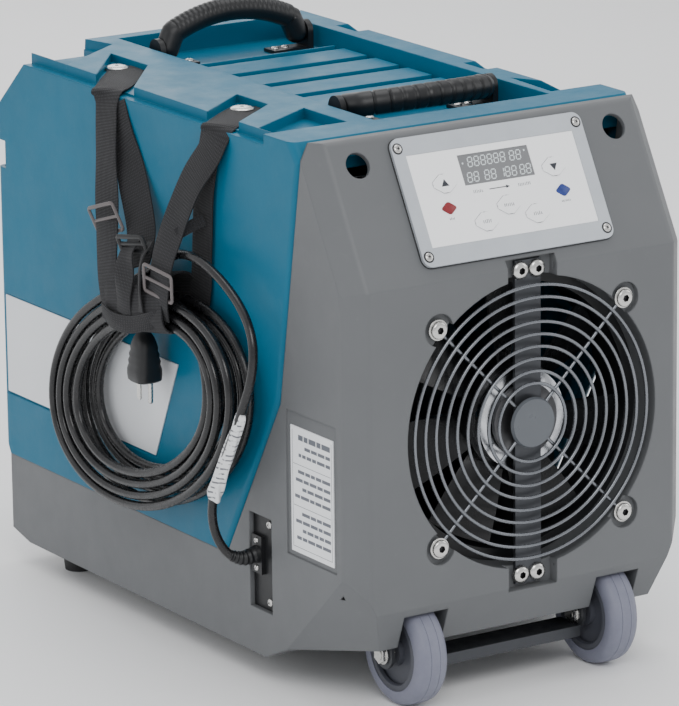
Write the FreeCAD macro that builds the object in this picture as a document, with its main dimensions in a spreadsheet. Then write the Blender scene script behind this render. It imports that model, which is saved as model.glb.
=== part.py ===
import FreeCAD, Part
import math
import os
import re
from types import SimpleNamespace

import Sketcher

Vector = FreeCAD.Vector
Rotation = FreeCAD.Rotation
Placement = FreeCAD.Placement

# Commercial dehumidifier: a grey front shell with its base pan, a blue upper housing, an axial fan
# behind a wire guard, two front wheels, two folding handles and a mains cord hung on two straps.
# Millimetres, +Z up. The front faces -Y. The origin lies on the floor under the housing's centre.
# Every sub-part is laid out on a bench where y runs back from the front face, and its own
# Placement then carries it into the part's frame. Only the cord is laid out in the part's frame.

SIZES = {
    # housing
    "body_width": 366, "body_depth": 630, "body_height": 516, "ground_gap": 26.5,
    "shell_wall": 5, "shell_seam": 1.5, "base_height": 110, "base_depth": 619,
    "crease_height": 396, "face_tilt": 29, "face_length": 139.5, "rim_depth": 12,
    "seam_knee_y": 118, "seam_knee_z": 273, "seam_foot_y": 214,
    "corner_run": 21, "corner_setback": 15, "shell_round": 7, "housing_round": 8,
    # top of the housing
    "ledge_width": 11, "ledge_drop": 10, "lip_back": 140, "shoulder_width": 35, "shoulder_drop": 26,
    "recess_left": 71, "recess_right": 120, "recess_front": 132, "recess_back": 584,
    "rib_level": 12, "groove_depth": 8, "groove_width": 15, "groove_pitch": 56, "groove_left": 42,
    "groove_end_gap": 8, "pocket_level": 22, "pocket_length": 100, "rear_lip_back": 600,
    "rear_chamfer_z": 453, "rear_chamfer_y": 572, "rail_back": 505,
    # panel on the tilted face
    "panel_width": 205, "panel_height": 120, "panel_foot": 13.5, "panel_thickness": 3,
    "panel_corner": 9, "gasket_thickness": 1, "overlay_width": 179, "overlay_height": 86,
    "overlay_thickness": 1.2, "display_width": 75, "display_height": 28, "panel_screw_inset": 6.5,
    "key_width": 24, "key_height": 17, "key_clearance": 0.4,
    "face_hole_radius": 12, "face_hole_x": 138, "face_hole_s": 115.5,
    # fan
    "fan_x": 10, "fan_z": 251.7, "opening_radius": 135, "collar_depth": 32, "collar_wall": 5,
    "guard_radius": 126.5, "guard_rings": 9, "guard_inner": 36.1, "guard_wire": 3.2,
    "badge_radius": 23.5, "badge_thickness": 3, "guard_screw_offset": 100.6, "ear_radius": 15,
    "ear_depth": 6, "bar_width": 28, "bar_thickness": 3.5, "bar_setback": 12, "bar_top": 404,
    "bar_foot": 97, "motor_radius": 46, "motor_length": 58, "shroud_radius": 124,
    "fan_tip_gap": 4, "fan_hub_radius": 50, "fan_depth": 30, "fan_blades": 7,
    # wheels
    "wheel_x": 105, "axle_y": 37, "wheel_radius": 50, "tyre_width": 31, "tyre_depth": 14,
    "axle_radius": 5, "running_gap": 0.05, "arch_gap": 5, "arch_side_gap": 8, "foot_y": 560,
    "foot_x": 143, "foot_radius": 17,
    # handles
    "handle_x": 24.5, "handle_span": 146, "handle_rise": 31, "grip_radius": 11.5, "pin_radius": 4,
    "front_pivot_y": 212, "rear_pivot_y": 530, "pivot_drop": 4, "fold_angle": 77,
    # plates on the -X side and the cord's inlet
    "rating_front": 33, "rating_length": 70, "rating_foot": 141, "rating_height": 117,
    "plate_sink": 1.5, "label_front": 338, "label_foot": 171, "label_height": 101, "label_slant": 22,
    "inlet_y": 156, "inlet_z": 115, "inlet_length": 38, "inlet_height": 90,
    # inside
    "pan_y": 300, "pan_length": 182, "pan_rim": 30, "coil_width": 280, "coil_height": 380,
    "condenser_depth": 52, "evaporator_depth": 56, "compressor_radius": 60, "compressor_height": 190,
    "compressor_x": -55, "compressor_y": 222, "filter_width": 290, "filter_height": 280,
    "filter_foot": 150, "filter_depth": 24, "filter_gap": 0.6,
    # straps
    "strap_width": 36, "strap_thickness": 1.8, "strap_rear_y": 478, "strap_front_y": 257,
    "strap_rear_run": 76, "strap_front_run": 42, "anchor_lead": 14, "anchor_reach": 24,
    "strap_anchor_x": 137, "anchor_depth": 8, "anchor_screw_in": 8, "edge_drop": 5,
    "loop_rear_y": 42, "loop_rear_top": 356, "loop_rear_foot": 262, "loop_front_y": -61,
    "loop_front_top": 360, "loop_front_foot": 300, "slider_border": 4.5, "slider_height": 30,
    "slider_window": 20, "slider_thickness": 3.4, "band_length": 60, "band_height": 42, "band_y": -16,
    "band_z": 328, "band_tilt": 12, "band_gap": 1.2,
    # cord, coil and plug
    "cord_radius": 4.25, "coil_back_gap": 5, "coil_thickness": 32, "oval_long": 172,
    "oval_short": 106, "oval_hole_long": 108, "oval_hole_short": 66, "oval_y": -2, "oval_z": 240,
    "oval_tilt": 19, "plug_y": 6, "plug_foot": 253, "plug_width": 27, "plug_depth": 31,
    "plug_height": 42, "plug_round": 6, "neck_length": 12, "neck_start": 9, "neck_end": 5.5,
    "prong_length": 20, "tag_gap": 0.3,
}

doc = FreeCAD.newDocument("dehumidifier")
sheet = doc.addObject("Spreadsheet::Sheet", "Dims")
for row, (alias, value) in enumerate(SIZES.items(), start=1):
    sheet.set(f"A{row}", alias)
    sheet.set(f"B{row}", str(value))
    sheet.setAlias(f"B{row}", alias)
doc.recompute()
D = SimpleNamespace(**{alias: float(sheet.get(alias)) for alias in SIZES})

FRONT = "(-body_depth / 2)"
NODES = []


def formula(text):
    """The expression with each size's alias read from the sheet."""
    return re.sub(r"[a-z_]+[a-z0-9_]*", lambda m: "Dims." + m[0] if m[0] in SIZES else m[0], str(text))


def bind(item, **properties):
    for name, text in properties.items():
        item.setExpression(name.replace("__", "."), formula(text))


def node(label, item, x="0", y=FRONT, z="0"):
    """Names a finished sub-part and places it in the part's frame."""
    item.Label = label
    for axis, text in (("x", x), ("y", y), ("z", z)):
        item.setExpression(f"Placement.Base.{axis}", formula(text))
    NODES.append(item)
    return item


# ---------------------------------------------------------------- PartDesign helpers

def new_body(name):
    return doc.addObject("PartDesign::Body", name)


def new_sketch(body, role, name, offset=None, turn=None):
    """A sketch on one of the body's own planes, moved along its normal by offset."""
    item = body.newObject("Sketcher::SketchObject", name)
    plane = next(f for f in body.Origin.OriginFeatures if f.Role == role)
    item.AttachmentSupport = [(plane, "")]
    item.MapMode = "FlatFace"
    if turn is not None:
        item.AttachmentOffset = turn
    if offset is not None:
        item.setExpression("AttachmentOffset.Base.z", formula(offset))
    return item


def outline(item, points):
    """A closed outline whose corners are held by expressions."""
    first = item.GeometryCount
    count = len(points)
    rough = [Vector(10 * math.cos(6.28 * i / count), 10 * math.sin(6.28 * i / count), 0)
             for i in range(count)]
    for i in range(count):
        item.addGeometry(Part.LineSegment(rough[i], rough[(i + 1) % count]), False)
    for i in range(count):
        item.addConstraint(Sketcher.Constraint("Coincident", first + i, 2, first + (i + 1) % count, 1))
    for i, point in enumerate(points):
        for kind, start, text in (("DistanceX", rough[i].x, point[0]), ("DistanceY", rough[i].y, point[1])):
            index = item.addConstraint(Sketcher.Constraint(kind, -1, 1, first + i, 1, start))
            item.setExpression(f"Constraints[{index}]", formula(text))


def disc(item, x, y, radius):
    """A circle held by expressions."""
    geometry = item.addGeometry(Part.Circle(Vector(1, 1, 0), Vector(0, 0, 1), 1), False)
    for kind, start, text in (("DistanceX", 1, x), ("DistanceY", 1, y)):
        index = item.addConstraint(Sketcher.Constraint(kind, -1, 1, geometry, 3, start))
        item.setExpression(f"Constraints[{index}]", formula(text))
    index = item.addConstraint(Sketcher.Constraint("Radius", geometry, 1))
    item.setExpression(f"Constraints[{index}]", formula(radius))


def feature(body, kind, profile, length, symmetric=False, reverse=False, direction=None):
    """A Pad or a Pocket of a sketch."""
    item = body.newObject("PartDesign::" + kind, kind)
    item.Profile = profile
    item.SideType = "Symmetric" if symmetric else "One side"
    item.Reversed = reverse
    if direction is not None:
        item.UseCustomVector = True
        item.Direction = direction
    bind(item, Length=length)
    profile.Visibility = False
    doc.recompute()
    return item


def dress(body, kind, radius, chosen):
    """A Fillet or Chamfer on the edges of the body's last feature that chosen() accepts."""
    base = body.Tip
    names = [f"Edge{i}" for i, edge in enumerate(base.Shape.Edges, start=1) if chosen(edge)]
    item = body.newObject("PartDesign::" + kind, kind)
    item.Base = (base, names)
    if kind == "Fillet":
        bind(item, Radius=radius)
    else:
        bind(item, Size=radius)
    doc.recompute()
    return item


def ends(edge):
    return edge.Vertexes[0].Point, edge.Vertexes[-1].Point


# ---------------------------------------------------------------- primitives

TURNS = {"X": Rotation(Vector(0, 1, 0), 90), "Y": Rotation(Vector(1, 0, 0), -90), "Z": Rotation()}


def set_base(item, x, y, z):
    bind(item, Placement__Base__x=x, Placement__Base__y=y, Placement__Base__z=z)


def box(length, width, height, x, y, z):
    """A box whose middle is at x, and which starts at y and z."""
    item = doc.addObject("Part::Box", "box")
    bind(item, Length=length, Width=width, Height=height)
    set_base(item, f"{x} - ({length}) / 2", y, z)
    return item


def rod(radius, length, x, y, z, axis="Z"):
    """A cylinder that runs along axis from its start."""
    item = doc.addObject("Part::Cylinder", "rod")
    bind(item, Radius=radius, Height=length)
    item.Placement = Placement(Vector(), TURNS[axis])
    set_base(item, x, y, z)
    return item


def cone(radius_start, radius_end, length, x, y, z, axis="Z"):
    item = doc.addObject("Part::Cone", "cone")
    bind(item, Radius1=radius_start, Radius2=radius_end, Height=length)
    item.Placement = Placement(Vector(), TURNS[axis])
    set_base(item, x, y, z)
    return item


def hexagon(across, length, x, y, z, axis):
    """A hexagonal head or nut, measured across its flats."""
    item = doc.addObject("Part::Prism", "hexagon")
    item.Polygon = 6
    bind(item, Circumradius=f"({across}) / 2 / cos(30)", Height=length)
    item.Placement = Placement(Vector(), TURNS[axis])
    set_base(item, x, y, z)
    return item


def joined(kind, parts):
    if len(parts) == 1:
        return parts[0]
    item = doc.addObject(kind, "joined")
    if kind == "Part::Compound":
        item.Links = parts
    else:
        item.Shapes = parts
    return item


def fuse(*parts):
    return joined("Part::MultiFuse", list(parts))


def group(*parts):
    """Separate solids that share one node."""
    item = doc.addObject("Part::Compound", "group")
    item.Links = list(parts)
    return item


def cut(base, *tools):
    item = doc.addObject("Part::Cut", "cut")
    item.Base = base
    item.Tool = fuse(*tools)
    return item


def screw(head_radius, head_height, shank_radius, shank_length, x, y, z, axis="Y", way=-1):
    """A low domed head with its shank; way is where the head points along the axis."""
    start = {"X": (f"{x} + ({way}) * ({head_height})", y, z), "Y": (x, f"{y} + ({way}) * ({head_height})", z),
             "Z": (x, y, f"{z} + ({way}) * ({head_height})")}[axis]
    if way < 0:
        head = cone(f"0.7 * ({head_radius})", head_radius, head_height, *start, axis)
        shank = rod(shank_radius, shank_length, x, y, z, axis)
    else:
        head = cone(head_radius, f"0.7 * ({head_radius})", head_height, x, y, z, axis)
        back = {"X": (f"{x} - ({shank_length})", y, z), "Y": (x, f"{y} - ({shank_length})", z),
                "Z": (x, y, f"{z} - ({shank_length})")}[axis]
        shank = rod(shank_radius, shank_length, *back, axis)
    return fuse(head, shank)


def shaped(label, shape, x="0", y=FRONT, z="0"):
    """A sub-part whose shape comes from Part's own functions."""
    item = doc.addObject("Part::Feature", label)
    item.Shape = shape
    return node(label, item, x, y, z)


# ---------------------------------------------------------------- front shell

FACE_TOP_Y = "(face_length * sin(face_tilt))"
FACE_TOP_Z = "(crease_height + face_length * cos(face_tilt))"
SIDE = "(body_width / 2)"
SCREW_SIDES = [(-1, -1), (1, -1), (-1, 1), (1, 1)]
INNER = "(body_width / 2 - shell_wall)"
FAN_EARS = [(f"fan_x + ({i}) * guard_screw_offset", f"fan_z + ({k}) * guard_screw_offset")
            for i, k in SCREW_SIDES]
FACE_TURN = Rotation(Vector(1, 0, 0), 90 - D.face_tilt)
BAR_LEFT = "(fan_x - bar_width / 2 - 13)"
BAR_RIGHT = "(fan_x + bar_width / 2 + 12)"


def rectangle(x_low, y_low, x_high, y_high):
    return [(x_low, y_low), (x_high, y_low), (x_high, y_high), (x_low, y_high)]


def tilted_sketch(body, name):
    """A sketch on the tilted face, with x across and y up the slope from the crease."""
    item = new_sketch(body, "XY_Plane", name, turn=Placement(Vector(), FACE_TURN))
    bind(item, AttachmentOffset__Base__z="crease_height")
    return item


def front_shell():
    body = new_body("front_shell_body")
    profile = new_sketch(body, "YZ_Plane", "shell_profile")
    outline(profile, [
        ("0", "100"), ("0", "crease_height"), (FACE_TOP_Y, FACE_TOP_Z),
        (f"{FACE_TOP_Y} + rim_depth", FACE_TOP_Z), (f"{FACE_TOP_Y} + rim_depth", "body_height - 17"),
        ("seam_knee_y", "seam_knee_z"), ("seam_foot_y", "base_height"), ("base_depth", "base_height"),
        ("base_depth", "ground_gap + 8"), ("base_depth - 33", "ground_gap"), ("150", "ground_gap"),
        ("111", "ground_gap + 17.5"), ("14", "62")])
    feature(body, "Pad", profile, "body_width", symmetric=True)

    def on_front_corner(edge):
        a, b = ends(edge)
        return (abs(abs(a.x) - D.body_width / 2) < 0.01 and abs(a.x - b.x) < 0.01
                and min(a.z, b.z) > 99 and max(a.y, b.y) < 70 and edge.Length > 100)

    dress(body, "Chamfer", "(corner_run + corner_setback) / 2", on_front_corner)

    # The lower front corners are cut off by one slanting facet each.
    facets = new_sketch(body, "XZ_Plane", "corner_facets", offset="0")
    for side in (-1, 1):
        outline(facets, [(f"{side} * ({SIDE} - 61)", "20"), (f"{side} * {SIDE}", "150"),
                         (f"{side} * ({SIDE} + 40)", "150"), (f"{side} * ({SIDE} + 40)", "20")])
    feature(body, "Pocket", facets, "160", direction=Vector(0, 99, -93))

    def on_front_rim(edge):
        a, b = ends(edge)
        upright = abs(a.x - b.x) < 0.01 and abs(a.x) > 150 and max(a.y, b.y) < 72 and edge.Length > 90
        top = abs(a.z - b.z) < 0.01 and a.z > D.body_height - 1 and max(a.y, b.y) < 72
        return (upright and min(a.z, b.z) > 90) or (top and edge.Length > 100)

    dress(body, "Fillet", "shell_round", on_front_rim)

    narrow = new_sketch(body, "YZ_Plane", "front_cavity")
    outline(narrow, [
        ("shell_wall", "112"), ("shell_wall", "crease_height - 1.3"),
        (f"{FACE_TOP_Y} + 2.5", f"{FACE_TOP_Z} - shell_wall - 1"), ("700", f"{FACE_TOP_Z} - shell_wall - 1"),
        ("700", "112")])
    feature(body, "Pocket", narrow, f"2 * ({SIDE} - corner_run - 3)", symmetric=True)
    cavity = new_sketch(body, "YZ_Plane", "shell_cavity")
    outline(cavity, [
        ("shell_wall + 20", "112"), ("shell_wall + 20", "crease_height - 6"),
        (f"{FACE_TOP_Y} + 5", f"{FACE_TOP_Z} - 40"), ("700", f"{FACE_TOP_Z} - 40"),
        ("700", "base_height + 5"), ("base_depth - shell_wall", "base_height + 5"),
        ("base_depth - shell_wall", "ground_gap + 11"), ("base_depth - 35", "ground_gap + shell_wall"),
        ("152", "ground_gap + shell_wall"), ("119", "ground_gap + shell_wall + 20"), ("112", "112")])
    feature(body, "Pocket", cavity, f"2 * {INNER}", symmetric=True)

    bosses = new_sketch(body, "XZ_Plane", "front_bosses", offset="-shell_wall / 2")
    disc(bosses, "fan_x", "fan_z", "opening_radius + collar_wall")
    feature(body, "Pad", bosses, "collar_depth - shell_wall / 2", reverse=True)
    ear_bosses = new_sketch(body, "XZ_Plane", "ear_bosses", offset="-shell_wall / 2")
    for x, z in FAN_EARS:
        disc(ear_bosses, x, z, "ear_radius + 4")
    feature(body, "Pad", ear_bosses, "16", reverse=True)
    bar_bosses = new_sketch(body, "XZ_Plane", "bar_bosses", offset="-shell_wall / 2 - 4")
    outline(bar_bosses, rectangle(f"{BAR_LEFT} - 5", "bar_foot - 4", f"{BAR_RIGHT} + 5", "bar_foot + 30"))
    outline(bar_bosses, rectangle(f"{BAR_LEFT} - 5", "bar_top - 26", f"{BAR_RIGHT} + 5", "bar_top + 5"))
    feature(body, "Pad", bar_bosses, "bar_setback + 6 - shell_wall / 2 - 4", reverse=True)

    opening = new_sketch(body, "XZ_Plane", "fan_opening", offset="1")
    disc(opening, "fan_x", "fan_z", "opening_radius")
    feature(body, "Pocket", opening, "collar_depth + 20")
    ears = new_sketch(body, "XZ_Plane", "ear_pockets", offset="1")
    for x, z in FAN_EARS:
        disc(ears, x, z, "ear_radius")
    feature(body, "Pocket", ears, "ear_depth + 1")
    slots = new_sketch(body, "XZ_Plane", "bar_slots", offset="1")
    outline(slots, rectangle(BAR_LEFT, "bar_foot", BAR_RIGHT, "bar_foot + 35"))
    outline(slots, rectangle(BAR_LEFT, "bar_top - 30", BAR_RIGHT, "bar_top"))
    feature(body, "Pocket", slots, "bar_setback + 1")
    holes = new_sketch(body, "XZ_Plane", "screw_holes", offset="1")
    for x, z in FAN_EARS:
        disc(holes, x, z, "3.1")
    for x, z in BAR_SCREWS:
        disc(holes, x, z, "3.1")
    feature(body, "Pocket", holes, "17")

    window = tilted_sketch(body, "panel_window")
    outline(window, rectangle("-overlay_width / 2", "panel_foot + 17", "overlay_width / 2",
                              "panel_foot + panel_height - 17"))
    feature(body, "Pocket", window, "12")
    round_holes = tilted_sketch(body, "face_holes")
    for side in (-1, 1):
        disc(round_holes, f"{side} * face_hole_x", "face_hole_s", "face_hole_radius")
    for i, k in SCREW_SIDES:
        disc(round_holes, f"{i} * (panel_width / 2 - panel_screw_inset)",
             f"panel_foot + panel_height / 2 + ({k}) * (panel_height / 2 - panel_screw_inset - 3)", "1.7")
    feature(body, "Pocket", round_holes, "12")

    for side in (-1, 1):
        arch = new_sketch(body, "YZ_Plane", "wheel_arch",
                          offset=f"{side} * wheel_x - tyre_width / 2 - arch_side_gap")
        disc(arch, "axle_y", "wheel_radius", "wheel_radius + arch_gap")
        feature(body, "Pocket", arch, "tyre_width + 2 * arch_side_gap", reverse=True)

    inlet = new_sketch(body, "YZ_Plane", "inlet_window", offset=f"-{SIDE} - 1")
    outline(inlet, rectangle("inlet_y - inlet_length / 2", "inlet_z - inlet_height / 2",
                             "inlet_y + inlet_length / 2", "inlet_z + inlet_height / 2"))
    feature(body, "Pocket", inlet, "shell_wall + 2", reverse=True)
    plate = new_sketch(body, "YZ_Plane", "rating_recess", offset=f"-{SIDE} - 1")
    outline(plate, rectangle("rating_front - 5", "rating_foot - 5", "rating_front + rating_length + 7",
                             "rating_foot + rating_height + 13"))
    feature(body, "Pocket", plate, "plate_sink + 1", reverse=True)
    return node("front_shell", body)


BAR_SCREWS = [(f"fan_x + ({i}) * 9", z) for z in ("bar_foot + 12", "bar_top - 12") for i in (-1, 1)]


# ---------------------------------------------------------------- upper housing

SEAM_TOP_Y = f"({FACE_TOP_Y} + rim_depth + shell_seam)"
SPLIT = "(base_depth - shell_wall)"
CHAMFER_SLOPE = "((body_height - ledge_drop - rear_chamfer_z) / (body_depth - rear_chamfer_y))"
REAR_LIP_FOOT = f"(rear_chamfer_z + (body_depth - rear_lip_back - 3) * {CHAMFER_SLOPE})"


STRAP_ANCHORS = [("strap_rear_y", "strap_rear_run"), ("strap_front_y", "strap_front_run")]
ANCHOR_SCREW_X = "(anchor_screw_in - strap_anchor_x)"


def strap_slope(run):
    """How far a strap runs forward for each millimetre that it runs outward over the top."""
    return f"(({run} + anchor_lead) / ({SIDE} - strap_anchor_x + anchor_reach))"


def anchor_screw_y(y, run):
    return f"({y} + anchor_screw_in * {strap_slope(run)})"


def upper_housing():
    body = new_body("upper_housing_body")
    profile = new_sketch(body, "YZ_Plane", "housing_profile")
    outline(profile, [
        ("seam_foot_y + shell_seam * 1.2", "base_height"),
        ("seam_knee_y + shell_seam * 1.2", "seam_knee_z"), (SEAM_TOP_Y, "body_height - 16"),
        (f"{SEAM_TOP_Y} + 13", "body_height"), ("rear_lip_back", "body_height"),
        ("rear_lip_back + 3", REAR_LIP_FOOT), ("body_depth", "rear_chamfer_z"),
        ("body_depth", "base_height + 18"), ("base_depth", "base_height")])
    feature(body, "Pad", profile, "body_width", symmetric=True)

    def outer_edge(edge):
        a, b = ends(edge)
        on_side = abs(abs(a.x) - D.body_width / 2) < 0.01 and abs(a.x - b.x) < 0.01
        seam = max(a.y, b.y) < D.seam_foot_y + 5 and min(a.z, b.z) > D.base_height - 1
        back = min(a.y, b.y) > D.rear_chamfer_y - 1 and edge.Length > 60
        return on_side and (seam or back) and edge.Length > 15

    dress(body, "Fillet", "housing_round", outer_edge)

    top = new_sketch(body, "XY_Plane", "left_ledge", offset="body_height + 1")
    outline(top, rectangle(f"-{SIDE} - 1", "lip_back", f"-{SIDE} + ledge_width - 2", "body_depth + 1"))
    outline(top, [(f"-{SIDE} + ledge_width - 1", "lip_back"), ("-recess_left - 24", "lip_back"),
                  ("-recess_left - 24", "lip_back + 72"), (f"-{SIDE} + ledge_width - 1", "lip_back + 24")])
    outline(top, [(f"-{SIDE} + ledge_width - 1", "rail_back"), ("-recess_left - 19", "rail_back + 58"),
                  ("-recess_left - 29", "rear_lip_back + 5"),
                  (f"-{SIDE} + ledge_width - 1", "rear_lip_back + 5")])
    feature(body, "Pocket", top, "ledge_drop + 1")
    bevel = new_sketch(body, "YZ_Plane", "rear_bevel", offset=f"-{SIDE} - 1")
    outline(bevel, [("rear_chamfer_y", "body_height - ledge_drop"), ("rear_chamfer_y", "body_height + 5"),
                    ("body_depth + 5", "body_height + 5"), ("body_depth + 5", "rear_chamfer_z"),
                    ("body_depth", "rear_chamfer_z")])
    feature(body, "Pocket", bevel, f"{SIDE} + 1 - recess_left - 29", reverse=True)
    shoulder = new_sketch(body, "XZ_Plane", "right_shoulder", offset="-lip_back")
    outline(shoulder, [(f"{SIDE} - shoulder_width", "body_height"), (f"{SIDE} + 1", "body_height"),
                       (f"{SIDE} + 1", "body_height - shoulder_drop - 1")])
    feature(body, "Pocket", shoulder, "body_depth")
    notch = new_sketch(body, "XY_Plane", "right_notch", offset="body_height + 1")
    outline(notch, [(f"{SIDE} - shoulder_width + 12", "lip_back"), ("recess_right + 8", "lip_back"),
                    ("recess_right + 12", "lip_back + 72"),
                    (f"{SIDE} - shoulder_width + 12", "lip_back + 24")])
    feature(body, "Pocket", notch, "ledge_drop + 1")

    recess = new_sketch(body, "XY_Plane", "top_recess", offset="body_height + 1")
    outline(recess, rectangle("-recess_left", "recess_front", "recess_right", "recess_back"))
    feature(body, "Pocket", recess, "rib_level + 1")
    pockets = new_sketch(body, "XY_Plane", "handle_pockets", offset="body_height + 1")
    outline(pockets, rectangle("-recess_left", "recess_front", "recess_right", "recess_front + pocket_length"))
    outline(pockets, rectangle("-recess_left", "recess_back - pocket_length", "recess_right", "recess_back"))
    feature(body, "Pocket", pockets, "pocket_level + 1")
    grooves = new_sketch(body, "XY_Plane", "rib_grooves", offset="body_height + 1")
    for i in range(5):
        start = f"recess_front + pocket_length + 10 + {i} * groove_pitch"
        outline(grooves, rectangle("-groove_left", start, "recess_right - groove_end_gap + 1",
                                   f"{start} + groove_width"))
    feature(body, "Pocket", grooves, "rib_level + groove_depth + 1")
    channel = new_sketch(body, "XY_Plane", "rib_channel", offset="body_height + 1")
    outline(channel, rectangle("recess_right - groove_end_gap", "recess_front + pocket_length - 1",
                               "recess_right", "recess_back - pocket_length + 1"))
    feature(body, "Pocket", channel, "rib_level + groove_depth + 1")

    anchors = new_sketch(body, "XY_Plane", "strap_pockets", offset="body_height + 1")
    for y, run in STRAP_ANCHORS:
        slope = strap_slope(run)
        half = f"((strap_width / 2 + 3) * sqrt(1 + {slope} * {slope}))"
        outline(anchors, [(f"-{SIDE} - 1", f"{y} - {run} - {half}"),
                          ("-strap_anchor_x + anchor_reach", f"{y} + anchor_lead - {half}"),
                          ("-strap_anchor_x + anchor_reach", f"{y} + anchor_lead + {half}"),
                          (f"-{SIDE} - 1", f"{y} - {run} + {half}")])
        outline(anchors, rectangle("recess_right + 14", y, f"{SIDE} + 1", f"{y} + 36"))
    feature(body, "Pocket", anchors, "anchor_depth + 1")
    anchor_holes = new_sketch(body, "XY_Plane", "anchor_screw_holes", offset="body_height + 1")
    for y, run in STRAP_ANCHORS:
        disc(anchor_holes, ANCHOR_SCREW_X, anchor_screw_y(y, run), "3.01")
    feature(body, "Pocket", anchor_holes, "anchor_depth + 7")

    cavity = new_sketch(body, "YZ_Plane", "housing_cavity")
    floor = "body_height - pocket_level - shell_wall"
    outline(cavity, [
        ("seam_foot_y + 20", "base_height - 1"), ("seam_knee_y + 16", "seam_knee_z"),
        (f"{SEAM_TOP_Y} + 20", floor), ("rear_chamfer_y + 6", floor),
        ("body_depth - shell_wall", "rear_chamfer_z - 6"),
        ("body_depth - shell_wall", "base_height + 20"), (SPLIT, "base_height + 1"),
        (SPLIT, "base_height - 1")])
    feature(body, "Pocket", cavity, f"2 * {INNER}", symmetric=True)
    throat = new_sketch(body, "XZ_Plane", "front_throat", offset="-50")
    outline(throat, rectangle(f"-{SIDE} + 18", "base_height - 1", f"{SIDE} - 18", floor))
    feature(body, "Pocket", throat, "300")

    label = new_sketch(body, "YZ_Plane", "label_recess", offset=f"-{SIDE} - 1")
    outline(label, [("label_front", "label_foot"), ("body_depth + 1", "label_foot"),
                    ("body_depth + 1", "label_foot + label_height"),
                    ("label_front - label_slant * 2", "label_foot + label_height")])
    feature(body, "Pocket", label, "plate_sink + 1", reverse=True)
    corner = new_sketch(body, "YZ_Plane", "back_notch", offset=f"-{SIDE} - 1")
    outline(corner, rectangle("body_depth - 17", "397", "body_depth + 1", "424"))
    feature(body, "Pocket", corner, "18", reverse=True)
    intake = new_sketch(body, "XZ_Plane", "intake_opening", offset="-body_depth + 20")
    outline(intake, rectangle("-filter_width / 2 - 5", "filter_foot - 5", "filter_width / 2 + 5",
                              "filter_foot + filter_height + 5"))
    feature(body, "Pocket", intake, "40")
    return node("upper_housing", body)


# ---------------------------------------------------------------- panel on the tilted face

def on_face(label, item):
    """Places a sub-part that is laid out on the tilted face: x across, y up the slope, z outward."""
    node(label, item, z="crease_height")
    item.Placement = Placement(item.Placement.Base, FACE_TURN)
    return item


PANEL_MIDDLE = "(panel_foot + panel_height / 2)"
FRAME_TOP = "(gasket_thickness + panel_thickness)"
POCKET_FLOOR = f"({FRAME_TOP} - overlay_thickness)"
DISPLAY_Y = "(panel_foot + 82.3)"
KEYS = {"key_up": ("-58.5", "73"), "key_down": ("59", "73"), "key_power": ("1", "45"),
        "key_purge": ("-26.5", "33"), "key_timer": ("28", "33")}
LIGHTS = {"status_light_red": "-61", "status_light_blue": "62"}
LIGHT_Y = "(panel_foot + 50.2)"
PANEL_SCREWS = [(f"({i}) * (panel_width / 2 - panel_screw_inset)",
                 f"{PANEL_MIDDLE} + ({k}) * (panel_height / 2 - panel_screw_inset - 3)")
                for i, k in SCREW_SIDES]


def diamond(x, y, width, height):
    """A lozenge with cut points."""
    corners = [(0.5, 0.14), (0.14, 0.5), (-0.14, 0.5), (-0.5, 0.14),
               (-0.5, -0.14), (-0.14, -0.5), (0.14, -0.5), (0.5, -0.14)]
    return [(f"{x} + ({width}) * ({a})", f"{y} + ({height}) * ({b})") for a, b in corners]


def cut_panel_holes(body, floor):
    """The openings for the keys, the display and the screws."""
    holes = new_sketch(body, "XY_Plane", "panel_holes", offset=floor)
    for x, y in KEYS.values():
        outline(holes, diamond(x, f"panel_foot + {y}", "key_width + 2 * key_clearance",
                               "key_height + 2 * key_clearance"))
    outline(holes, rectangle("-display_width / 2 - 0.2", f"{DISPLAY_Y} - display_height / 2 - 0.2",
                             "display_width / 2 + 0.2", f"{DISPLAY_Y} + display_height / 2 + 0.2"))
    feature(body, "Pocket", holes, "20", symmetric=True)


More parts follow.
